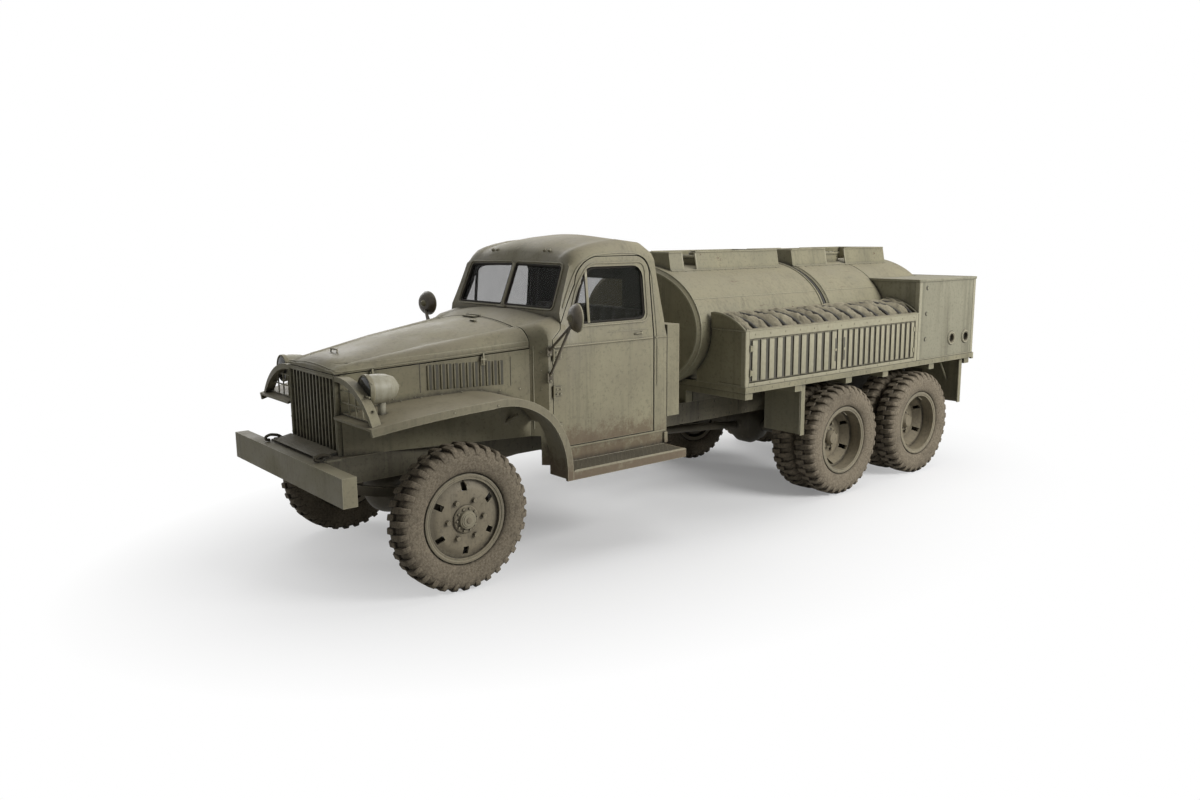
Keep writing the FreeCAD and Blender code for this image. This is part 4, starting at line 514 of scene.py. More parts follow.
def add_turned(bm, outline, place, steps):
    """An outline of (along, radius) points turned about X, then put in place."""
    verts = [bm.verts.new((a, 0, r)) for a, r in outline]
    edges = [bm.edges.new(pair) for pair in zip(verts, verts[1:])]
    round_x = {"cent": (0, 0, 0), "axis": (1, 0, 0), "angle": 2 * math.pi}
    bmesh.ops.spin(bm, geom=verts + edges, steps=steps, use_merge=True, **round_x)
    linked, known = list(verts), set(verts)
    for vert in linked:
        for other in (edge.other_vert(vert) for edge in vert.link_edges):
            if other not in known:
                known.add(other)
                linked.append(other)
    bmesh.ops.remove_doubles(bm, verts=linked, dist=0.00002)
    bmesh.ops.transform(bm, matrix=place, verts=[v for v in linked if v.is_valid])


def add_tube(bm, points, radius, sides=8):
    """A bent rod: a circle extruded from point to point, each ring square to the path."""
    points = [Vector(p) for p in points]
    last = len(points) - 1
    rings = []
    for k, at in enumerate(points):
        place = Matrix.Translation(at) @ facing(points[min(k + 1, last)] - points[max(k - 1, 0)])
        verts = bmesh.ops.create_circle(
            bm, cap_ends=k in (0, last), segments=sides, radius=radius, matrix=place,
        )["verts"]
        rings.append([e for v in verts for e in v.link_edges if e.other_vert(v) in verts])
    for a, b in zip(rings, rings[1:]):
        bmesh.ops.bridge_loops(bm, edges=once(a + b))


def mirror_all(bm):
    """Adds the copy on the truck's other side."""
    made = bmesh.ops.duplicate(bm, geom=list(bm.verts) + list(bm.edges) + list(bm.faces))
    bmesh.ops.scale(bm, vec=(-1, 1, 1), verts=verts_of(made))
    bmesh.ops.reverse_faces(bm, faces=[g for g in made["geom"] if isinstance(g, bmesh.types.BMFace)])


def both_sides(*rows):
    """Makes pieces of the chassis, each on both sides of the truck, of (bmesh, name, finish)."""
    for bm, name, finish in rows:
        mirror_all(bm)
        piece(bm, name, "chassis", finish)


def to_side(bm, side):
    """Moves what was made on the left over to the right when the side is -1."""
    if side < 0:
        bmesh.ops.scale(bm, vec=(-1, 1, 1), verts=bm.verts)


SIDES = ((1, "left"), (-1, "right"))

# ---- Wheels ----
LUGS = 34
LUG_HALF_WIDTH = 0.0195
LUG_OUTLINE = (
    (-0.01, 0.4643), (0.034, 0.4643), (0.066, 0.4622), (0.084, 0.45), (0.0945, 0.429), (0.1005, 0.404),
    (0.096, 0.402), (0.088, 0.424), (0.074, 0.439), (0.048, 0.444), (-0.01, 0.445),
)
TYRE_HALF = [
    (-0.063, 0.264), (-0.063, 0.2862), (-0.074, 0.292), (-0.084, 0.3), (-0.0905, 0.318), (-0.0925, 0.322),
    (-0.0935, 0.33), (-0.0975, 0.345), (-0.1005, 0.37), (-0.1, 0.392), (-0.096, 0.412), (-0.086, 0.43),
    (-0.069, 0.4425), (-0.03, 0.4465),
]
LOCK_RING = (
    (0.0, 0.262), (0.006, 0.266), (0.008, 0.274), (0.006, 0.282), (0.0, 0.286), (-0.004, 0.274), (0.0, 0.262),
)
HUB_STEPS = (
    (0.068, 0.0), (0.068, 0.086), (0.078, 0.088), (0.084, 0.082), (0.085, 0.06), (0.106, 0.055),
    (0.109, 0.04), (0.1155, 0.036), (0.1165, 0.02), (0.1215, 0.016), (0.1225, 0.0),
)
TWIN_OFFSET = 0.12


def lug(bm, side):
    """One tread bar at the top of the tyre, from just past the middle out over the shoulder."""
    verts = [bm.verts.new((side * x, -LUG_HALF_WIDTH, r)) for x, r in LUG_OUTLINE]
    moved = verts_of(bmesh.ops.extrude_face_region(bm, geom=[bm.faces.new(verts)]))
    bmesh.ops.translate(bm, vec=(0, 2 * LUG_HALF_WIDTH, 0), verts=moved)
    whole = verts + moved
    for v in whole:
        # wider at its foot, narrower over the shoulder, and aslant
        out = abs(v.co.x + side * 0.01)
        deep = (0.4648 - v.co.z) if out < 0.06 else 0.0
        v.co.y *= 1 + 6 * max(0.0, deep)
        v.co.y *= 1 - 2.2 * max(0.0, out - 0.075)
        v.co.y += side * out * 0.16
    edges = [e for e in edges_of(whole) if all(v in whole for v in e.verts)]
    bmesh.ops.bevel(bm, geom=edges, offset=0.0028, segments=1, **EDGES)


def tyre(bm, x, y, z, start):
    """A tyre with its bars, about a wheel's middle, turned by a start angle."""
    def turn(verts, angle):
        bmesh.ops.rotate(bm, verts=verts, cent=(0, 0, 0), matrix=Matrix.Rotation(angle, 3, "X"))

    before = set(bm.verts)
    section = TYRE_HALF + [(0.0, 0.447)] + [(-a, r) for a, r in reversed(TYRE_HALF)]
    add_turned(bm, section, Matrix.Identity(4), 68)
    for side in (-1, 1):
        first = set(bm.verts)
        lug(bm, side)
        bar = [v for v in bm.verts if v not in first]
        geom = once(f for v in bar for f in v.link_faces) + edges_of(bar) + bar
        turn(bar, math.pi / LUGS * (side > 0))
        for k in range(1, LUGS):
            turn(verts_of(bmesh.ops.duplicate(bm, geom=geom)), 2 * math.pi * k / LUGS)
    made = [v for v in bm.verts if v not in before]
    turn(made, start)
    bmesh.ops.translate(bm, vec=(x, y, z), verts=made)


def wheel_fittings(bm, x, y, z, side, twin):
    """Nuts, the hub's bolts and cap, the lock ring and the valve."""
    add_turned(bm, LOCK_RING, Matrix.Translation((x + side * 0.071, y, z)), 48)
    face = x + side * (-0.107 if twin else 0.0705)
    bolts_round(bm, (face, y, z), ring(6, 60, 0.128), side, 0.016, 0.022)
    flange, across = (x - side * 0.074, 0.08) if twin else (x + side * 0.084, 0.07)
    bolts_round(bm, (flange, y, z), ring(10, 0, across), side, 0.0085, 0.01)
    if not twin:
        add_turned(bm, [(side * a, r) for a, r in HUB_STEPS], Matrix.Translation((x, y, z)), 36)
    add_rod(bm, (x + side * 0.05, y, z + 0.245), (x + side * 0.088, y + 0.01, z + 0.215), 0.005, 8)


def brake_drum(bm, y, z, side, twin):
    """The drum inside a wheel, which doesn't turn with it."""
    inner, outer, hole = (0.672, 0.742, 0.112) if twin else (0.785, 0.85, 0.165)
    drum = [(inner, hole), (inner, 0.214), (inner + 0.012, 0.214), (inner + 0.012, 0.224),
            (outer - 0.004, 0.224), (outer, 0.219), (outer, hole), (inner, hole)]
    add_turned(bm, [(side * a, r) for a, r in drum], Matrix.Translation((0, y, z)), 44)


WHEELS = (("front", (0.1, 0.05)), ("middle", (0.02, 0.13)), ("rear", (0.07, 0.11)))
WHEEL_Z = (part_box("front_left_tyre")[0][2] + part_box("front_left_tyre")[1][2]) / 2
for place, starts in WHEELS:
    for (side, hand), start in zip(SIDES, starts):
        twin = place != "front"
        label, plural = f"{place}_{hand}", "s" if twin else ""
        low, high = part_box(f"{label}_tyre{plural}")
        x, y = (low[0] + high[0]) / 2, (low[1] + high[1]) / 2
        bm = bmesh.new()
        for k, offset in enumerate((TWIN_OFFSET, -TWIN_OFFSET) if twin else (0,)):
            tyre(bm, x + offset, y, WHEEL_Z, start + 0.06 * k)
        treads = piece(bm, f"{label}_treads", f"{label}_wheel{plural}", "tyre", 40)
        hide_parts(f"{label}_tyre{plural}")
        bm = bmesh.new()
        wheel_fittings(bm, x + side * (TWIN_OFFSET if twin else 0), y, WHEEL_Z, side, twin)
        piece(bm, f"{label}_wheel_nuts", f"{label}_wheel{plural}", "wheel", 30)
        bm = bmesh.new()
        brake_drum(bm, y, WHEEL_Z, side, twin)
        piece(bm, f"{label}_brake_drum", "chassis" if twin else f"{hand}_knuckle", "chassis", 30)

# ---- Places on the CAD's surfaces ----
COWL, GRILLE, CAB_REAR = -1.729, -2.968, -0.562
SKINS = {}


def touch(label, start, toward):
    """Where a line from start first meets a CAD node, and the face's normal there, or None."""
    if label not in SKINS:
        data = frame["nodes"][label].data
        corners, faces = [v.co.copy() for v in data.vertices], [tuple(p.vertices) for p in data.polygons]
        SKINS[label] = BVHTree.FromPolygons(corners, faces)
    at, normal, _, _ = SKINS[label].ray_cast(Vector(start), Vector(toward).normalized())
    if at is None:
        return None
    return at, (normal if normal.dot(Vector(toward)) < 0 else -normal)


def laid_on(label, starts, toward, lift=0.0):
    """A path through the places where lines from each start meet a CAD node, lifted off it."""
    found = [touch(label, start, toward) for start in starts]
    return [at + normal * lift for at, normal in filter(None, found)]


def side_path(label, points, lift=0.0):
    """Points given as (y, z), laid on the truck's left side."""
    return laid_on(label, [(1.4, y, z) for y, z in points], (-1, 0, 0), lift)


def top_path(label, points, lift=0.0):
    """Points given as (x, y), laid on the surface from above."""
    return laid_on(label, [(x, y, 3.0) for x, y in points], (0, 0, -1), lift)


def bolt_on(bm, label, start, toward, *size):
    """A bolt where a line from start meets a CAD node."""
    found = touch(label, start, toward)
    if found:
        add_bolt(bm, *found, *size)


def spread(start, end, count):
    """Evenly spaced numbers from start to end."""
    return [start + (end - start) * k / (count - 1) for k in range(count)]


def run(start, end, count):
    """Evenly spaced points from start to end."""
    return list(zip(*(spread(a, b, count) for a, b in zip(start, end))))


def rounded(corners, radius, steps=4, closed=True):
    """A flat polyline with its corners rounded."""
    out = []
    count = len(corners)
    for k, corner in enumerate(corners):
        c = Vector(corner)
        if not closed and k in (0, count - 1):
            out.append(tuple(c))
            continue
        a, b = Vector(corners[k - 1]), Vector(corners[(k + 1) % count])
        p = c + (a - c).normalized() * radius
        q = c + (b - c).normalized() * radius
        for t in spread(0, 1, steps + 1):
            out.append(tuple(p * (1 - t) ** 2 + c * 2 * t * (1 - t) + q * t ** 2))
    return out + ([out[0]] if closed else [])


def thicken(points, step):
    """The same flat polyline with extra points, at most a step apart."""
    out = [points[0]]
    for a, b in zip(points, points[1:]):
        count = max(1, math.ceil((Vector(b) - Vector(a)).length / step))
        out += [tuple(Vector(a).lerp(Vector(b), (j + 1) / count)) for j in range(count)]
    return out


# ---- Front sheet metal: louvres, catches, beads, lamps and bumper ----
# the hood's sides widen, and their upper edge rises, from the grille back to the cowl
HOOD_LENGTH, HOOD_SPREAD, HOOD_RISE = 1.239, 0.297, 0.09
LOUVRE_Z, LOUVRE_SLOT = 1.298, 0.0165
LAMP = (0.64, -2.8, 1.29)


def panel_x(y):
    return 0.366 + (y - GRILLE) / HOOD_LENGTH * HOOD_SPREAD


def panel_top(y, foot):
    return foot + (y - GRILLE) / HOOD_LENGTH * HOOD_RISE


def hood_details():
    turn = Matrix.Rotation(-math.atan2(HOOD_SPREAD, HOOD_LENGTH), 4, "Z")
    bm, slot_shade = bmesh.new(), bmesh.new()
    for k in range(12):
        y = -2.405 + 0.0425 * k
        place = Matrix.Translation((panel_x(y) + 0.001, y, LOUVRE_Z)) @ turn
        verts = add_cube(bm, place, (0.016, 0.017, 0.168))
        outer = sorted(verts, key=lambda v: -v.co.x)[:4]
        bmesh.ops.scale(bm, vec=(1, 0.55, 0.93), verts=outer, space=Matrix.Translation((0, -y, -LOUVRE_Z)))
        bmesh.ops.bevel(bm, geom=edges_of(verts), offset=0.003, segments=2, **EDGES)
        # a black strip beside each louvre: painted shade in its opening
        y += LOUVRE_SLOT
        place = Matrix.Translation((panel_x(y) + 0.0006, y, LOUVRE_Z)) @ turn
        add_cube(slot_shade, place, (0.002, LOUVRE_SLOT, 0.16))
    for y in (-2.75, -2.05):
        at = Vector((panel_x(y) + 0.01, y, panel_top(y, 1.327)))
        low, high, pin0, pin1, strap0, strap1 = (at + Vector(p) for p in (
            (-0.01, -0.016, -0.04), (0.004, 0.016, 0.02), (0.006, -0.02, 0), (0.006, 0.02, 0),
            (0.007, 0, -0.03), (0.007, 0, 0.04),
        ))
        add_block(bm, low, high, 0.003)
        add_rod(bm, pin0, pin1, 0.006)
        add_bar(bm, strap0, strap1, (1, 0, 0), 0.012, 0.006, 0.002)
    for y in spread(-2.9, -1.8, 9):
        add_bolt(bm, (panel_x(y), y, 1.18), (1, -0.24, 0), 0.007)
    both_sides((bm, "side_louvres", "body"), (slot_shade, "louvre_slot_shade", "black"))
    # folded edges and stiffening bead of the hood, its handle and the knob before the windshield
    bm = bmesh.new()
    for height, lift, radius in ((0.012, 0.0015, 0.0045), (0.045, -0.001, 0.003)):
        starts = [(1.2, y, panel_top(y, 1.358) + height) for y in spread(-2.955, -1.74, 26)]
        add_tube(bm, laid_on("hood", starts, (-1, 0, 0), lift), radius, 6)
    mirror_all(bm)
    for y, half, count, lift, radius in (
        (-2.952, 0.34, 15, -0.001, 0.006), (-1.745, 0.6, 31, -0.0005, 0.0035),
    ):
        add_tube(bm, top_path("hood", [(x, y) for x in spread(-half, half, count)], lift), radius, 6)
    at, knob = (top_path("hood", [place])[0] for place in ((0, -2.8), (0.16, -1.845)))
    handle = ((-0.05, 0, -0.004), (-0.045, 0, 0.022), (0.045, 0, 0.022), (0.05, 0, -0.004))
    add_tube(bm, [at + Vector(p) for p in handle], 0.006)
    add_block(bm, knob + Vector((-0.03, -0.012, -0.004)), knob + Vector((0.03, 0.012, 0.012)), 0.004, 2)
    piece(bm, "hood_beads", "hood", "body")
    bm = bmesh.new()
    for y in (-2.455, -1.862):
        add_tube(bm, [(panel_x(y) + 0.0002, y, z) for z in spread(1.205, 1.4, 5)], 0.0022, 6)
    both_sides((bm, "hood_side_seams", "black"))


def lamp_details():
    bm, glass, dark = bmesh.new(), bmesh.new(), bmesh.new()
    at = turned_at(LAMP, 90, "Z")
    rim = [(-0.104, 0.082), (-0.11, 0.086), (-0.108, 0.0935), (-0.088, 0.0945), (-0.078, 0.092),
           (-0.085, 0.086), (-0.104, 0.082)]
    add_turned(bm, rim, at, 40)
    add_turned(bm, [(-0.001, 0.0), (0.108, 0.012), (0.121, 0.01), (0.122, 0.0)], at, 16)
    lens = [(-0.1, 0.0), (-0.1125, 0.0), (-0.1115, 0.03), (-0.1085, 0.06), (-0.1045, 0.0835), (-0.1, 0.0835),
            (-0.1, 0.0)]
    add_turned(glass, lens, at, 40)
    inside = [(-0.0985, 0.0), (-0.1055, 0.0), (-0.1055, 0.0815), (-0.0985, 0.0815), (-0.0985, 0.0)]
    add_turned(dark, inside, at, 32)
    for across, up in ring(3, 30, 0.0945):
        add_bolt(bm, (LAMP[0] + across, -2.898, LAMP[2] + up), (across, 0, up), 0.005)
    both_sides((bm, "lamp_rims", "body"), (glass, "lamp_glass", "lens"), (dark, "lamp_insides", "black"))


def bumper_details():
    bm = bmesh.new()
    for x in (-0.4, 0.4):
        hook = [(x, -3.02, 0.85), (x, -3.055, 0.876), (x, -3.105, 0.886), (x, -3.14, 0.874),
                (x, -3.138, 0.856), (x, -3.11, 0.85)]
        add_tube(bm, rounded(hook, 0.012, 3, closed=False), 0.01, 10)
        add_block(bm, (x - 0.03, -3.075, 0.838), (x + 0.03, -2.98, 0.858), 0.004)
        add_bolt(bm, (x, -3.045, 0.858), (0, 0, 1), 0.011, 0.009)
    # sheet between the frame's front ends, below the grille
    for y, z in run((-3.085, 0.86), (-2.995, 0.878), 4):
        add_bar(bm, (-0.365, y, z), (0.365, y, z), (0, -0.2, 1), 0.034, 0.005)
    piece(bm, "bumper_bolts_and_hooks", "chassis", "chassis")
    # a black plate behind the grille: painted shade between its bars
    bm = bmesh.new()
    add_block(bm, (-0.345, -2.937, 0.862), (0.345, -2.93, 1.34))
    piece(bm, "grille_shade_sheet", "chassis", "black")
    bm = bmesh.new()
    for z in (1.338, 0.866):
        add_tube(bm, [(-0.35, -2.9665, z), (0.35, -2.9665, z)], 0.006)
    for x in (-0.35, 0.35):
        add_tube(bm, [(x, -2.9665, 0.866), (x, -2.9665, 1.338)], 0.006)
        for z in spread(0.9, 1.31, 5):
            add_bolt(bm, (x, -2.969, z), (0, -1, 0))
    piece(bm, "grille_beads", "chassis", "body")


# ---- Cab: beads, window frames, handles, seat and instruments ----
GLASS_OUT = Vector((0, -0.93, 0.367))
GLASS_UP = Vector((0, 0.367, 0.93))
DOOR_LEAN = 0.118
SEAT_HALF = 0.642
DASH_Y = -1.489


def glass_place(x, up, out):
    """A place on the windshield's plane: across, up from its foot, and out from it."""
    return Vector((x, COWL + 0.228, 1.665)) + GLASS_UP * up + GLASS_OUT * out


def windshield_details():
    bm, seal = bmesh.new(), bmesh.new()
    for side in (-1, 1):
        for shape, out, radius, corners, corner_radius in (
            (seal, -0.006, 0.009, ((0.024, 0.032), (0.585, 0.032), (0.565, 0.33), (0.024, 0.338)), 0.028),
            (bm, 0.001, 0.0065, ((0.01, 0.014), (0.612, 0.014), (0.59, 0.35), (0.01, 0.357)), 0.045),
        ):
            line = thicken(rounded([(side * x, up) for x, up in corners], corner_radius), 0.2)
            add_tube(shape, [glass_place(x, up, out) for x, up in line], radius)
    for start, end, *size in (
        ((0, 0.02, 0.002), (0, 0.345, 0.002), 0.03, 0.01, 0.003),
        ((-0.05, 0.012, 0.006), (0.05, 0.012, 0.006), 0.018, 0.016, 0.004),
    ):
        add_bar(bm, glass_place(*start), glass_place(*end), GLASS_OUT, *size)
    # marker lamps over the windshield
    for x in (-0.33, 0.33):
        at, normal = touch("cab_shell", (x, COWL + 0.05, 2.075), (0, 1, 0))
        for across in (-0.03, 0.03):
            c = at + Vector((across, 0, 0))
            add_rod(bm, c - normal * 0.006, c + normal * 0.014, 0.015, 16, 0.011)
    piece(bm, "windshield_frame", "chassis", "body")
    piece(seal, "windshield_seals", "chassis", "seal")


def cab_beads():
    """Beads round the doorway, over the roof's edge and along the belt, and the rear window's frame."""
    bm = bmesh.new()
    rail = [(0.26, 1.7), (0.34, 1.86), (0.41, 1.985), (0.52, 2.045), (0.75, 2.06), (0.93, 2.052),
            (1.02, 2.01), (1.065, 1.9), (1.072, 1.6), (1.072, 1.1)]
    line = rounded([(COWL + y, z) for y, z in rail], 0.05, 5, closed=False)
    add_tube(bm, side_path("cab_shell", thicken(line, 0.05), 0.001), 0.0055, 6)
    for z, y0, y1 in ((1.447, COWL + 1.052, CAB_REAR - 0.004), (0.748, COWL + 0.1, CAB_REAR - 0.02)):
        add_tube(bm, side_path("cab_shell", run((y0, z), (y1, z), 12), 0.001), 0.006, 6)
    y = COWL + 0.016
    add_tube(bm, side_path("cab_shell", run((y, 1.46), (y, 0.9), 8), -0.0008), 0.0045, 6)
    for z in spread(0.8, 1.42, 6):
        bolt_on(bm, "cab_shell", (1.3, COWL + 0.055, z), (-1, 0, 0))
    mirror_all(bm)
    corners = [(-0.315, 1.625), (0.315, 1.625), (0.315, 1.865), (-0.315, 1.865)]
    line = thicken(rounded(corners, 0.05), 0.15)
    starts = [(x * 1.04, 0.5, z + (0.004 if z > 1.74 else -0.004)) for x, z in line]
    add_tube(bm, laid_on("cab_shell", starts, (0, -1, 0), 0.001), 0.007)
    piece(bm, "cab_beads", "chassis", "body")


def door_details(side, label):
    """Both doors' trims are laid on the left door, which the right one mirrors."""
    def on_glass(points, depth):
        return [Vector((0.752 - DOOR_LEAN * (z - 1.45) - depth, y, z)) for y, z in points]

    bm, seal = bmesh.new(), bmesh.new()
    front, rear, top = COWL + 0.29, COWL + 0.971, 1.968
    inner = [(front + 0.02, 1.592), (rear - 0.006, 1.592), (rear - 0.006, top - 0.01),
             (front + 0.205, top - 0.01), (front + 0.125, 1.85)]
    outer = [(front - 0.012, 1.568), (rear + 0.022, 1.568), (rear + 0.022, top + 0.022),
             (front + 0.19, top + 0.022), (front + 0.098, 1.855)]
    add_tube(bm, side_path("left_door", thicken(rounded(outer, 0.07, 5), 0.05), 0.001), 0.006)
    add_tube(seal, on_glass(thicken(rounded(inner, 0.05, 5), 0.08), 0.012), 0.009)
    post = on_glass([(front + 0.165, 1.588), (front + 0.172, top - 0.006)], 0.01)
    add_bar(bm, *post, (1, 0, DOOR_LEAN), 0.022, 0.014, 0.003)
    # belt bead, pressed line, handle and hinges
    for z, y0, y1, radius in ((1.447, 0.135, 1.028, 0.007), (1.515, 0.62, 0.98, 0.002)):
        add_tube(bm, side_path("left_door", run((COWL + y0, z), (COWL + y1, z), 24), 0.001), radius)
    grip = touch("left_door", (1.3, COWL + 0.925, 1.49), (-1, 0, 0))[0]
    add_rod(bm, grip - Vector((0.004, 0, 0)), grip + Vector((0.007, 0, 0)), 0.013, 16, 0.01)
    handle = ((0.004, 0, 0), (0.012, -0.012, 0), (0.012, -0.062, -0.001), (0.003, -0.072, -0.002))
    add_tube(bm, [grip + Vector(p) for p in handle], 0.005)
    for z in (0.86, 1.11, 1.36):
        for y in (0.147, 0.177):
            for up in (0.025, 0.055):
                add_bolt(bm, (0.7705, COWL + y, z + up), (1, 0, 0))
    # inside: panel bead and window winder
    panel = [(0.7105, y, z) for y, z in ((-1.5, 0.86), (-0.78, 0.86), (-0.78, 1.4), (-1.5, 1.4))]
    add_tube(bm, rounded(panel, 0.04), 0.004, 6)
    hub = Vector((0.712, -1.22, 1.3))
    add_rod(bm, hub, hub - Vector((0.03, 0, 0)), 0.014, 12)
    winder = ((-0.026, 0, 0), (-0.03, 0.05, -0.06), (-0.06, 0.05, -0.06))
    add_tube(bm, [hub + Vector(p) for p in winder], 0.006)
    to_side(bm, side)
    to_side(seal, side)
    piece(bm, f"{label}_door_trim", f"{label}_door", "body")
    piece(seal, f"{label}_window_seal", f"{label}_door", "seal")


def seat_pad(name, low, high, place):
    """A cushion between two corners, sewn into channels, then put in place."""
    channels = 9
    bm = bmesh.new()
    bmesh.ops.create_grid(bm, x_segments=36, y_segments=14, size=0.5)
    upper = verts_of(bmesh.ops.extrude_face_region(bm, geom=list(bm.faces)))
    for v in bm.verts:
        v.co.z = 0.0
    for v in upper:
        v.co.z = 1.0
    for v in bm.verts:
        u, t, top = v.co.x * 2, v.co.y * 2, v.co.z
        edge = (1 - abs(u) ** 6) * (1 - abs(t) ** 4)
        groove = abs(math.sin((u + 1) * 0.5 * math.pi * channels)) ** 0.35
        height = (0.7 + 0.3 * edge ** 0.5) * (0.8 + 0.2 * groove) if top else 0.1 * (1 - edge)
        v.co.x = (low[0] + high[0]) / 2 + (high[0] - low[0]) / 2 * u
        v.co.y = (low[1] + high[1]) / 2 + (high[1] - low[1]) / 2 * t
        v.co.z = low[2] + (high[2] - low[2]) * height
    bmesh.ops.transform(bm, matrix=place, verts=bm.verts)
    made = piece(bm, name, "chassis", "seat", 80)
    soft = made.modifiers.new("soft", "SUBSURF")
    soft.levels = soft.render_levels = 1
    return made


def cab_inside():
    """Padded seat and back, and the instruments."""
    flat, upright = Matrix.Identity(4), turned_at((0, -0.69, 1.445), 82, "X")
    seat = seat_pad("seat_cushion_pad", (-SEAT_HALF, -1.122, 1.0655), (SEAT_HALF, -0.645, 1.2155), flat)
    back = seat_pad("seat_back_pad", (-SEAT_HALF, -0.235, 0.0), (SEAT_HALF, 0.2, 0.1), upright)
    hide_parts("seats")
    bm = bmesh.new()
    for x, r in ((0.26, 0.045), (0.36, 0.055), (0.46, 0.045), (0.16, 0.03)):
        dial = [(0.0, 0.0), (0.0, r), (0.006, r + 0.003), (0.008, r - 0.004), (0.003, r - 0.007),
                (0.003, 0.0)]
        add_turned(bm, dial, turned_at((x, DASH_Y, 1.5), 90, "Z"), 28)
    add_block(bm, (-0.6, DASH_Y - 0.0005, 1.43), (-0.2, DASH_Y + 0.005, 1.535), 0.003)
    for x in (-0.05, 0.02, 0.09):
        add_rod(bm, (x, DASH_Y, 1.44), (x, DASH_Y + 0.019, 1.44), 0.009, 12)
    piece(bm, "instruments", "chassis", "black")


# ---- Running boards, fenders and mirrors ----
BOARD_TOP = 0.65


def board_details():
    bm = bmesh.new()
    low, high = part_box("running_boards")
    y0, y1 = low[1] + 0.03, high[1] - 0.03
    add_block(bm, (0.772, y0 - 0.015, BOARD_TOP - 0.001), (0.974, y1 + 0.015, BOARD_TOP + 0.0022), 0.0008)
    for k, y in enumerate(spread(y0, y1, 50)):
        for j in range(8):
            place = turned_at((0.785 + 0.0245 * j, y, BOARD_TOP + 0.0028), 45 if (j + k) % 2 else -45, "Z")
            add_cube(bm, place, (0.02, 0.0055, 0.0035))
    both_sides((bm, "step_treads", "step"))
    bm = bmesh.new()
    for x, radius, sides in ((0.985, 0.006, 8), (0.768, 0.004, 6)):
        add_tube(bm, [(x, y0 - 0.02, BOARD_TOP), (x, y1 + 0.02, BOARD_TOP)], radius, sides)
    # bracket at the cab's rear lower corner
    add_block(bm, (0.7, CAB_REAR - 0.035, 0.655), (0.768, CAB_REAR + 0.002, 0.735), 0.004)
    for y, z in ((-1.79, 1.05), (-1.74, 0.92), (-1.7, 0.8), (-2.2, 1.16), (-2.5, 1.15)):
        bolt_on(bm, "front_fenders", (1.4, y, z), (-1, 0, 0), 0.007)
    for y in spread(-2.85, -1.95, 8):
        bolt_on(bm, "front_fenders", (panel_x(y) + 0.03, y, 2.0), (0, 0, -1), 0.008, 0.005)
    # stay from the frame to the fender, behind the wheel
    add_rod(bm, (0.43, -1.98, 0.83), (0.7, -1.86, 1.02), 0.011, 8)
    both_sides((bm, "fender_bolts", "fender"))


def mirror_details():
    bm, silver = bmesh.new(), bmesh.new()
    turn = Vector((1, 0, 0)).rotation_difference(Vector((0.25, 1, 0)).normalized()).to_matrix().to_4x4()
    place = Matrix.Translation((0.964, -1.579, 1.655)) @ turn
    rim = [(0.012, 0.092), (0.014, 0.0945), (0.022, 0.0945), (0.024, 0.088), (0.018, 0.086)]
    boss = [(-0.052, 0.0), (-0.052, 0.012), (-0.044, 0.022), (-0.03, 0.028), (-0.026, 0.0)]
    add_turned(bm, rim, place, 40)
    add_turned(bm, boss, place, 20)
    face = [(0.0175, 0.0), (0.0205, 0.0), (0.0195, 0.0865), (0.0175, 0.0865), (0.0175, 0.0)]
    add_turned(silver, face, place, 40)
    for z in (1.426, 1.249):
        for dz in (-0.02, 0.02):
            add_bolt(bm, (0.7625, COWL + 0.096, z + dz), (1, 0, 0), 0.007, 0.006)
    both_sides((bm, "mirror_rims", "locker"), (silver, "mirror_faces", "mirror"))


hood_details()
lamp_details()
bumper_details()
windshield_details()
cab_beads()
for side, label in SIDES:
    door_details(side, label)
cab_inside()
board_details()
mirror_details()


# ---- Tanks, hatches, lockers, covers and rear cabinet ----
TANK_HALF, TANK_UP, TANK_Z = 0.708, 0.496, 1.441
TANK_FRONT, TANK_SPLIT, TANK_REAR = -0.181, 1.393, 2.979
HATCHES = ((0.459, "front_hatch"), (2.119, "rear_hatch"))
HATCH_TOP = 2.0043
# each coaming's start and end, and its notch's start and end
COAMINGS = ((-0.083, 1.227, 0.069, 0.209), (1.419, 2.819, 1.909, 2.189))
COAMING_TOP, COAMING_FOOT = 2.0405, 1.902


def tank_point(degrees, y, lift=0.0):
    """A place round a tank's oval section, at a height over its skin."""
    a = math.radians(degrees)
    return (TANK_HALF + lift) * math.cos(a), y, TANK_Z + (TANK_UP + lift) * math.sin(a)


def tank_band(bm, y, lift, radius, low=-32, high=212, sides=8):
    """A tube round a tank's upper part, between two angles."""
    add_tube(bm, [tank_point(degrees, y, lift) for degrees in spread(low, high, 56)], radius, sides)


def coaming_x(z):
    """Half the distance between the coaming's leaning walls at a height."""
    return 0.3 - 0.038 * (z - 1.847) / 0.193


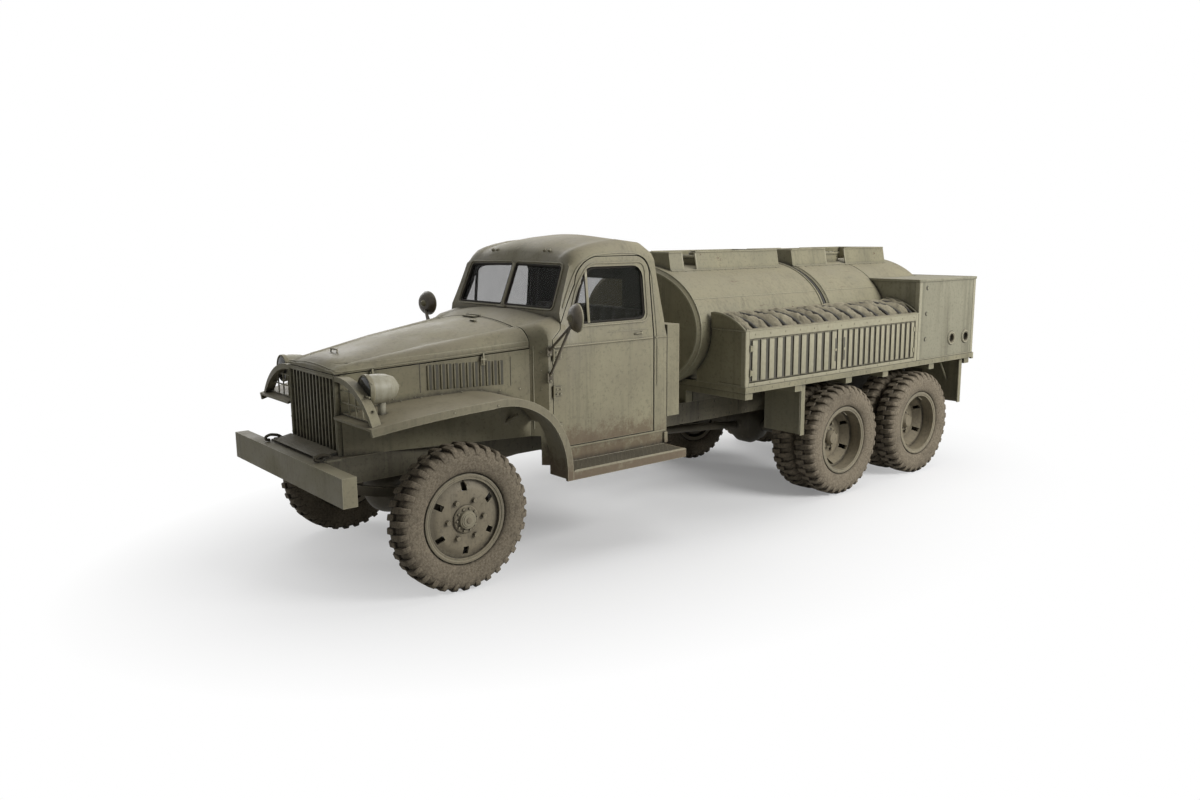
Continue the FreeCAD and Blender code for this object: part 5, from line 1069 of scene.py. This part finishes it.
def tank_details():
    bm, dark = bmesh.new(), bmesh.new()
    for y in (TANK_SPLIT - 0.052, TANK_SPLIT + 0.052):
        tank_band(bm, y, 0.001, 0.009)
    for y in (TANK_SPLIT - 0.0295, TANK_SPLIT + 0.0295):
        tank_band(bm, y, -0.01, 0.0075)
    tank_band(dark, TANK_SPLIT, -0.019, 0.016)
    tank_band(bm, TANK_FRONT + 0.026, 0.0, 0.006)
    tank_band(bm, TANK_FRONT + 0.004, -0.03, 0.005, -60, 240, 6)
    tank_band(bm, TANK_REAR - 0.75, 0.001, 0.004, 22, 158, 6)
    # seams along the barrels, and the flange at the coamings' foot
    for side in (-1, 1):
        for start, end, _, _ in COAMINGS:
            x = side * 0.292
            z = TANK_Z + TANK_UP * math.sqrt(1 - (x / TANK_HALF) ** 2)
            add_tube(bm, [(x, start + 0.004, z), (x, end - 0.004, z)], 0.0075)
            for y in spread(start + 0.06, end - 0.06, 14):
                add_bolt(bm, (x + side * 0.018, y, z - 0.006), (side * 0.35, 0, 1), 0.0055)
        x, _, z = tank_point(30, 0)
        for y0, y1 in ((TANK_FRONT + 0.03, TANK_SPLIT - 0.03), (TANK_SPLIT + 0.03, 2.21)):
            add_tube(bm, [(side * x, y0, z), (side * x, y1, z)], 0.003, 6)
    # rolled rim along the coamings' top, down into each notch
    top = COAMING_TOP - 0.002
    half = coaming_x(COAMING_TOP)
    for start, end, notch0, notch1 in COAMINGS:
        for side in (-1, 1):
            for y0, y1 in ((start, notch0), (notch1, end)):
                add_tube(bm, [(side * half, y0 + 0.004, top), (side * half, y1 - 0.004, top)], 0.0065)
            foot = coaming_x(COAMING_FOOT) - 0.005
            for y in (notch0 - 0.005, notch1 + 0.005):
                add_tube(bm, [(side * (half - 0.005), y, top), (side * foot, y, COAMING_FOOT)], 0.006)
        for y in (start + 0.005, end - 0.005):
            add_tube(bm, [(-half, y, top), (half, y, top)], 0.0065)
        # pipe and valves that cross the notch, low between the walls
        y = notch0 + 0.045
        add_rod(bm, (-0.22, y, 1.955), (0.22, y, 1.955), 0.016, 14)
        for x in (-0.1, 0.1):
            add_rod(bm, (x, y, 1.925), (x, y, 1.985), 0.026, 14)
    piece(bm, "tank_seams", "chassis", "tank")
    piece(dark, "tank_joint", "chassis", "black")
    for y, body in HATCHES:
        bm = bmesh.new()
        for across, back in ring(12, 15, 0.19):
            add_bolt(bm, (across, y + back, HATCH_TOP), (0, 0, 1), 0.01, 0.009)
        place = turned_at((0, y, HATCH_TOP), -90, "Y")
        add_turned(bm, [(-0.001, 0.135), (0.006, 0.138), (0.006, 0.144), (-0.001, 0.147)], place, 48)
        handle = [(0.026, 0.04), (0.03, 0.044), (0.03, 0.054), (0.026, 0.058)]
        add_turned(bm, handle, place @ Matrix.Translation((0, 0.03, 0)), 32)
        piece(bm, f"{body}_bolts", body, "tank")


DOOR_LENGTH = 1.057
DOOR_LOW, DOOR_HIGH = 1.0875, 1.399
LOCKER_FACE, LOCKER_OUT = 1.0665, 1.0698


def locker_door(side, label, name, start, ribs, latch):
    """A locker door's slats, with black strips of painted shade between them and in the latch's recess, and
    its latch.
    """
    bm, gap_shade = bmesh.new(), bmesh.new()
    pitch = DOOR_LENGTH / ribs
    for k in range(ribs):
        y = start + pitch * (k + 0.495)
        half = pitch * 0.29
        add_block(bm, (1.0695, y - half, DOOR_LOW + 0.004), (1.0745, y + half, DOOR_HIGH - 0.006), 0.0022, 2)
    # black strips of painted shade between the slats
    for k in range(ribs + 1):
        y = start + pitch * (k - 0.005)
        low, high = max(start + 0.002, y - pitch * 0.21), min(start + 1.055, y + pitch * 0.21)
        add_block(gap_shade, (1.0625, low, DOOR_LOW - 0.002), (1.0645, high, DOOR_HIGH - 0.001))
    y = start + latch
    # a black strip of painted shade for the latch's recess
    add_block(gap_shade, (1.066, y - 0.011, 1.15), (1.0765, y + 0.011, 1.34), 0.004, 2)
    add_rod(bm, (1.066, y, 1.245), (1.0785, y, 1.245), 0.012, 14)
    for shape, kind, finish in ((bm, "slats", "locker"), (gap_shade, "slat_gap_shade", "black")):
        to_side(shape, side)
        piece(shape, f"{label}_{name}_locker_{kind}", f"{label}_locker_{name}_door", finish)


def locker_details():
    for side, label in SIDES:
        locker_door(side, label, "front", -0.003, 11, 1.03)
        locker_door(side, label, "rear", 1.112, 14, 0.028)
    bm = bmesh.new()
    for y0, y1, z0, z1 in ((-0.015, 2.18, 1.408, 1.4695), (-0.015, 2.18, 1.0445, 1.0745),
                           (-0.0535, -0.016, 1.0445, 1.4695), (1.059, 1.107, 1.0755, 1.407),
                           (2.181, 2.219, 1.0445, 1.4695)):
        add_block(bm, (LOCKER_FACE, y0, z0), (LOCKER_OUT, y1, z1), 0.0012)
    add_tube(bm, [(1.068, -0.054, 1.4715), (1.068, 2.219, 1.4715)], 0.0055)
    # front end: its flange, corner angle, and the curved edge of the cover's end plate
    add_tube(bm, [(0.735, -0.0565, 1.4675), (1.066, -0.0565, 1.4675)], 0.0055)
    add_block(bm, (1.028, -0.0585, 1.0445), (1.069, -0.0547, 1.4615), 0.0012)
    add_tube(bm, [(0.8, -0.0565, 1.055), (1.03, -0.0565, 1.055)], 0.004, 6)
    for y in (-0.049, 2.2145):
        add_tube(bm, top_path("lockers", [(x, y) for x in spread(0.732, 1.058, 22)]), 0.0065)
    for y in spread(0.05, 2.15, 13):
        for z in (1.439, 1.0595):
            add_bolt(bm, (LOCKER_OUT, y, z), (1, 0, 0), 0.0055, 0.0035)
    # deck rail: end bracket, and rivets along it
    add_block(bm, (1.052, 3.145, 0.985), (1.0785, 3.178, 1.046), 0.003)
    for y in spread(0.05, 3.08, 16):
        add_bolt(bm, (1.075, y, 1.0215), (1, 0, 0), 0.0055, 0.0035)
    both_sides((bm, "locker_frames", "locker"))


# the cover: its ends, its segments, and how far a groove leans to the rear across it, in segments
COVER_START, COVER_END, SEGMENTS, LEAN = -0.036, 2.202, 13, 0.62
COVER_LINE = ((1.05, 1.474), (1.046, 1.487), (1.0, 1.532), (0.94, 1.566), (0.86, 1.587), (0.78, 1.5955),
              (0.735, 1.596))
COVER_MIDDLE = Vector((0.86, 0.0, 1.4))
# the cloth's frames, its inner pressure, its extra length, and the furthest it may move
CLOTH_FRAMES, CLOTH_PRESSURE, CLOTH_SLACK, CLOTH_REACH = 16, 2.2, 0.06, 0.01
COVER_BOX = ((0.72, -0.0385, 1.4705), (1.0525, 2.2045, 1.6015))
# black tubes of painted shade in the cover's grooves: how deep they lie, and how thick
GROOVE_SHADE_DEPTH, GROOVE_SHADE_RADIUS = 0.033, 0.013


def cover_skin(along, share):
    """A place on the cover's outside, along it and from its foot over to the tank, and the way inward."""
    at = share * (len(COVER_LINE) - 1)
    k = min(int(at), len(COVER_LINE) - 2)
    t = at - k
    x, z = (COVER_LINE[k][j] * (1 - t) + COVER_LINE[k + 1][j] * t for j in (0, 1))
    place = Vector((x, COVER_START + (COVER_END - COVER_START) * along, z))
    return place, (COVER_MIDDLE - Vector((x, 0.0, z))).normalized()


def cover_depth(along, share):
    """How far the cloth lies inside the skin: deep in the grooves, creased between them."""
    plump = max(0.0, math.sin(math.pi * ((along * SEGMENTS + LEAN * share) % 1.0))) ** 0.75
    ripple = 3.0 * math.sin(17.0 * share + 5.0 * along * SEGMENTS)
    fold = 0.5 + 0.5 * math.sin(23.0 * along * SEGMENTS + 9.0 * share + ripple)
    crumple = math.sin(61.0 * along + 7.0 * share) * math.sin(13.0 * share + 29.0 * along)
    deep = 0.058 * (1.0 - plump) + 0.009 * fold * plump + 0.0055 * (1.0 + crumple)
    return 0.003 + deep * min(1.0, 6.0 * share, 6.0 * (1.0 - share) + 0.3)


def cover_details():
    """Canvas covers, gathered by grooves into plump segments that lean to the rear."""
    bm = bmesh.new()
    bmesh.ops.create_grid(bm, x_segments=248, y_segments=17, size=0.5)
    for v in bm.verts:
        along, share = v.co.x + 0.5, v.co.y + 0.5
        place, inward = cover_skin(along, share)
        v.co = place + inward * cover_depth(along, share)
        v.co.z = max(v.co.z, 1.4735)
    skirt = bmesh.ops.extrude_edge_only(bm, edges=[e for e in bm.edges if e.is_boundary])
    for v in verts_of(skirt):
        v.co.z = 1.4722
        v.co.x = min(v.co.x, 1.048)
    bmesh.ops.contextual_create(bm, geom=[e for e in bm.edges if e.is_boundary])
    bmesh.ops.triangulate(bm, faces=[f for f in bm.faces if len(f.verts) > 4])
    bmesh.ops.recalc_face_normals(bm, faces=bm.faces)
    if bm.calc_volume(signed=True) < 0:
        bmesh.ops.reverse_faces(bm, faces=bm.faces)
    left = piece(bm, "left_cover_pad", "chassis", "canvas", 75, normals=False)
    plump_up(left)
    other = bmesh.new()
    other.from_mesh(left.data)
    to_side(other, -1)
    bmesh.ops.reverse_faces(other, faces=other.faces)
    right = piece(other, "right_cover_pad", "chassis", "canvas", 75, normals=False)
    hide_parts("covers")
    # piped hem along the foot, and black tubes down in the grooves as painted shade
    bm, grooves = bmesh.new(), bmesh.new()
    add_tube(bm, [(1.0555, COVER_START, 1.4765), (1.0555, COVER_END, 1.4765)], 0.0065)
    for k in range(1, SEGMENTS + 1):
        line = [((k - LEAN * share) / SEGMENTS, share) for share in spread(0.06, 0.94, 12)]
        skin = [cover_skin(along, share) for along, share in line if 0.004 < along < 0.996]
        if len(skin) > 2:
            add_tube(grooves, [place + inward * GROOVE_SHADE_DEPTH for place, inward in skin], GROOVE_SHADE_RADIUS)
    mirror_all(bm)
    mirror_all(grooves)
    piece(bm, "cover_hems", "chassis", "canvas")
    piece(grooves, "cover_groove_shade", "chassis", "black")


def plump_up(pad):
    """Blows the cover up a little between its grooves, with cloth to spare, so that it creases."""
    mesh = pad.data
    start = [v.co.copy() for v in mesh.vertices]
    group = pad.vertex_groups.new(name="held")
    for v in mesh.vertices:
        along = (v.co.y - COVER_START) / (COVER_END - COVER_START)
        share = min(1.0, max(0.0, (1.05 - v.co.x) / 0.315))
        phase = (along * SEGMENTS + LEAN * share) % 1.0
        held = v.co.z < 1.486 or min(phase, 1 - phase) < 0.07 or v.co.x < 0.76
        group.add([v.index], float(held), "REPLACE")
    cloth = pad.modifiers.new("cloth", "CLOTH")
    settings = cloth.settings
    settings.quality = 4
    settings.mass = 0.4
    settings.use_pressure = True
    settings.uniform_pressure_force = CLOTH_PRESSURE
    settings.effector_weights.gravity = 0.0
    settings.vertex_group_mass = "held"
    settings.shrink_min = settings.shrink_max = -CLOTH_SLACK
    settings.bending_stiffness = 0.05
    cloth.collision_settings.use_collision = False
    cloth.collision_settings.use_self_collision = False
    cloth.point_cache.frame_start, cloth.point_cache.frame_end = 1, CLOTH_FRAMES + 2
    scene = bpy.context.scene
    for number in range(1, CLOTH_FRAMES + 1):
        scene.frame_set(number)
    shaped = pad.evaluated_get(bpy.context.evaluated_depsgraph_get()).data
    ends = [v.co.copy() for v in shaped.vertices]
    pad.modifiers.remove(cloth)
    scene.frame_set(1)
    for v, was, now in zip(mesh.vertices, start, ends):
        step = now - was
        if step.length > CLOTH_REACH:
            step *= CLOTH_REACH / step.length
        v.co = [min(max(c, low), high) for c, low, high in zip(was + step, *COVER_BOX)]


CABINET_FACE, CABINET_TOP, CABINET_BACK = 1.067, 1.7653, 3.166
OUTLET_Z = 1.2113


def cabinet_details():
    bm, dark = bmesh.new(), bmesh.new()
    x, top = CABINET_FACE, CABINET_TOP
    # lid's overhanging lip, and the strips down the corners
    add_block(bm, (1.0625, 2.216, top - 0.02), (1.0745, 3.171, top + 0.003), 0.002, 2)
    for y in (2.215, 3.1645):
        add_block(bm, (0.0, y, top - 0.02), (1.0745, y + 0.007, top + 0.003), 0.0015)
    for y0, y1 in ((2.224, 2.262), (3.126, 3.164)):
        add_block(bm, (x - 0.001, y0, 1.046), (x + 0.0028, y1, top - 0.021), 0.0012)
    add_block(bm, (1.03, 2.2185, 1.478), (1.0695, 2.2222, top - 0.021), 0.001)
    add_tube(bm, [(x + 0.001, 2.226, 1.05), (x + 0.001, 3.162, 1.05)], 0.0045, 6)
    for z in (1.69, 1.46, 1.23):
        add_bolt(bm, (x, 2.345, z), (1, 0, 0), 0.014, 0.007)
        place = Matrix.Translation((x, 2.345, z))
        add_turned(dark, [(0.0, 0.014), (0.0014, 0.0155), (0.0, 0.021)], place, 20)
    # hose outlets: a rim with its bolts, a black disc of painted shade deep in the throat, and a dark ring
    # round the rim
    for y in (2.781, 3.021):
        place = Matrix.Translation((x, y, OUTLET_Z))
        rim = [(0.006, 0.047), (0.0105, 0.05), (0.0105, 0.057), (0.004, 0.062), (-0.001, 0.064)]
        add_turned(bm, rim, place, 40)
        add_turned(dark, [(-0.0215, 0.0), (-0.0205, 0.0), (-0.0205, 0.0365), (-0.0215, 0.0365)], place, 28)
        add_turned(dark, [(-0.001, 0.064), (0.0012, 0.066), (-0.001, 0.072)], place, 40)
        bolts_round(bm, (x + 0.0075, y, OUTLET_Z), ring(4, 45, 0.0525), 1, 0.005, 0.004)
    both_sides((bm, "cabinet_edges", "cabinet"), (dark, "dark_rings_and_throat_shade", "black"))
    for side, label in SIDES:
        bm = bmesh.new()
        panel = rounded([(0.085, 1.155), (0.955, 1.155), (0.955, 1.655), (0.085, 1.655)], 0.05)
        add_tube(bm, [(px, CABINET_BACK + 0.0002, pz) for px, pz in panel], 0.005)
        hand = Vector((0.06, CABINET_BACK, 1.4))
        plate = [(-0.001, 0.0), (-0.001, 0.03), (0.004, 0.03), (0.006, 0.0)]
        add_turned(bm, plate, turned_at(hand, 90, "Z"), 24)
        lever = ((0, 0, 0), (0, 0.008, 0), (0, 0.0085, -0.05), (0, 0.0085, -0.1))
        add_tube(bm, [hand + Vector(p) for p in lever], 0.0048)
        for z in (1.24, 1.16, 1.66, 1.58):
            add_bolt(bm, (0.99, CABINET_BACK, z), (0, 1, 0))
        to_side(bm, side)
        piece(bm, f"{label}_cabinet_door_trim", f"{label}_cabinet_door", "cabinet")


# ---- Underneath and under the hood ----
FRONT_AXLE, REAR_AXLES = -2.41, (1.197, 2.315)
ENGINE_FRONT, ENGINE_BACK = -2.62, -2.07


def under_details():
    """Spring clips, axle and frame bolts, the dark sheets over the frame, and the tail lamps."""
    bm = bmesh.new()
    clips = [(FRONT_AXLE + dy, 0.5, 0.7, 0.008) for dy in (-0.055, 0.055)]
    clips += [(y + dy, 0.43, 0.6, 0.009) for y in REAR_AXLES for dy in (-0.075, 0.075)]
    for y, z0, z1, radius in clips:
        for x in (0.44, 0.522):
            add_rod(bm, (x, y, z0), (x, y, z1), radius, 8)
        if y < 0:
            add_rod(bm, (0.436, y, z1), (0.526, y, z1), radius, 8)
    for y in REAR_AXLES:
        bolts_round(bm, (0.05, y, 0.465), ring(10, 0, 0.17), 1, 0.01, 0.009)
    # rivets along the frame's sides
    for y in spread(-1.55, 3.05, 26):
        for z in (0.705, 0.825):
            add_bolt(bm, (0.432, y, z), (1, 0, 0), 0.008, 0.005)
    mirror_all(bm)
    for y0, y1 in ((0.03, 0.53), (0.62, 1.18), (1.28, 1.71), (1.8, 2.43), (2.52, 3.035)):
        add_block(bm, (0.4335, y0, 0.852), (0.4385, y1, 0.999))
    for x in (0.4385, -0.64):
        add_block(bm, (x, 3.028, 0.78), (x + 0.2015, 3.034, 0.999))
    piece(bm, "chassis_bolts", "chassis", "chassis")
    bm, red = bmesh.new(), bmesh.new()
    place = turned_at((0.86, 3.12, 0.93), 90, "Z")
    shell = [(-0.035, 0.0), (-0.035, 0.022), (-0.02, 0.042), (0.028, 0.05), (0.034, 0.05), (0.034, 0.044),
             (0.022, 0.04)]
    add_turned(bm, shell, place, 28)
    lens = [(0.02, 0.0), (0.036, 0.0), (0.033, 0.025), (0.026, 0.0425), (0.02, 0.0425), (0.02, 0.0)]
    add_turned(red, lens, place, 28)
    add_block(bm, (0.85, 3.075, 0.925), (0.87, 3.095, 1.003), 0.002)
    # edges of the mudguards
    for y in (0.62, 3.018):
        add_tube(bm, [(1.047, y, 0.6), (1.047, y, 0.985)], 0.0035, 6)
    both_sides((bm, "tail_lamps", "chassis"), (red, "tail_lamp_glass", "red"))


def engine_details():
    """The rocker cover, manifolds, air filter, coolant hose and fan."""
    bm = bmesh.new()
    add_block(bm, (-0.075, -2.69, 1.262), (0.075, -2.0, 1.318), 0.02, 3)
    for y in spread(ENGINE_FRONT, ENGINE_BACK, 3):
        add_bolt(bm, (0.0, y, 1.318), (0, 0, 1), 0.012, 0.012)
    for y in spread(ENGINE_FRONT, ENGINE_BACK, 6):
        add_rod(bm, (0.206, y, 1.12), (0.24, y, 1.135), 0.013)
        add_tube(bm, [(-0.208, y, 1.08), (-0.24, y, 1.08), (-0.262, y + 0.01, 1.05)], 0.02)
    add_tube(bm, [(-0.265, -2.64, 1.045), (-0.268, -2.35, 1.04), (-0.265, -2.06, 1.045)], 0.03, 12)
    filter_line = [(0.0, 0.0), (0.0, 0.035), (0.03, 0.035), (0.035, 0.075), (0.095, 0.075), (0.105, 0.06),
                   (0.108, 0.0)]
    add_turned(bm, filter_line, turned_at((-0.15, -2.25, 1.262), -90, "Y"), 28)
    add_tube(bm, [(0.1, -2.7, 1.235), (0.1, -2.755, 1.262), (0.08, -2.815, 1.275)], 0.024, 12)
    hub = turned_at((0, -2.735, 1.08), 90, "Z")
    add_turned(bm, [(-0.05, 0.0), (-0.05, 0.045), (0.005, 0.05), (0.008, 0.0)], hub, 24)
    for across, up in ring(4, 20, 1):
        root, tip = (Vector((r * across, -2.775, 1.08 + r * up)) for r in (0.035, 0.205))
        add_bar(bm, root, tip, (up * 0.45, 1, -across * 0.45), 0.07, 0.003)
    piece(bm, "engine_fittings", "chassis", "iron")


tank_details()
locker_details()
cover_details()
cabinet_details()
under_details()
engine_details()


# ---- Camera, light and floor ----
# the camera's azimuth, height and roll, in degrees
VIEW = (50.6, 9.89, -0.45)
CAMERA_AT = (5.7984, -5.3445, 2.1851)
FLOOR_SHADED, FLOOR_SEEN = (0.42, 0.42, 0.42), (0.95, 0.95, 0.95)
LAMPS = (
    ("key", (8.5, 3.0, 5.5), 4.0, 820.0),
    ("fill", (-7.5, 0.5, 5.0), 6.0, 340.0),
    ("top", (1.0, 3.0, 9.5), 6.0, 220.0),
)
LAMPS_AIM = (0, 0, 0.9)


def add_camera(scene):
    a, e, r = (math.radians(v) for v in VIEW)
    back = Vector((math.sin(a) * math.cos(e), -math.cos(a) * math.cos(e), math.sin(e)))
    right = Vector((math.cos(a), math.sin(a), 0))
    up = back.cross(right)
    level = right * math.cos(r) + up * math.sin(r)
    upright = up * math.cos(r) - right * math.sin(r)
    camera = bpy.data.objects.new("camera", bpy.data.cameras.new("camera"))
    scene.collection.objects.link(camera)
    place = Matrix((level, upright, back)).transposed().to_4x4()
    place.translation = Vector(CAMERA_AT)
    camera.matrix_world = place
    camera.data.lens = 28.484
    camera.data.clip_end = 200
    scene.camera = camera


def add_floor(scene):
    """A floor that turns to plain white away from the truck, and keeps its shadow near it."""
    bm = bmesh.new()
    bmesh.ops.create_grid(bm, x_segments=1, y_segments=1, size=60)
    mesh = bpy.data.meshes.new("floor")
    bm.to_mesh(mesh)
    bm.free()
    floor = bpy.data.objects.new("floor", mesh)
    scene.collection.objects.link(floor)
    material, shader, w, place = start_material("floor_white")
    seen = w.unshaded_rays()
    reach = w.vector("LENGTH", w.stretched(place, (1.15, 0.72, 1.0)))["Value"]
    share = w.times(w.ramp(reach, 1.25, 3.3, 0.2, 1.0), seen)
    set_shader(w, shader, w.mix(seen, FLOOR_SHADED, FLOOR_SEEN), 0.9, Specular_IOR_Level=0.0)
    glow = w.add("ShaderNodeEmission", Strength=1.0)
    both = w.add("ShaderNodeMixShader", i0=share, i1=shader.outputs["BSDF"], i2=glow.outputs["Emission"])
    w.feed(w.tree.nodes["Material Output"], "Surface", both.outputs[0])
    mesh.materials.append(material)


def studio():
    scene = bpy.context.scene
    add_camera(scene)
    add_floor(scene)
    world = bpy.data.worlds.new("studio")
    scene.world = world
    world.use_nodes = True
    w = Wires(world.node_tree)
    background = world.node_tree.nodes["Background"]
    w.feed(background, "Color", (1, 1, 1))
    w.feed(background, "Strength", w.ramp(w.unshaded_rays(), 0.0, 1.0, 0.1, 1.0))
    for label, at, size, power in LAMPS:
        light = bpy.data.lights.new(label, "AREA")
        light.size = size
        light.energy = power
        lamp = bpy.data.objects.new(label, light)
        lamp.location = at
        lamp.rotation_euler = (Vector(at) - Vector(LAMPS_AIM)).to_track_quat("Z", "Y").to_euler()
        scene.collection.objects.link(lamp)
    scene.view_settings.view_transform = "Standard"


studio()
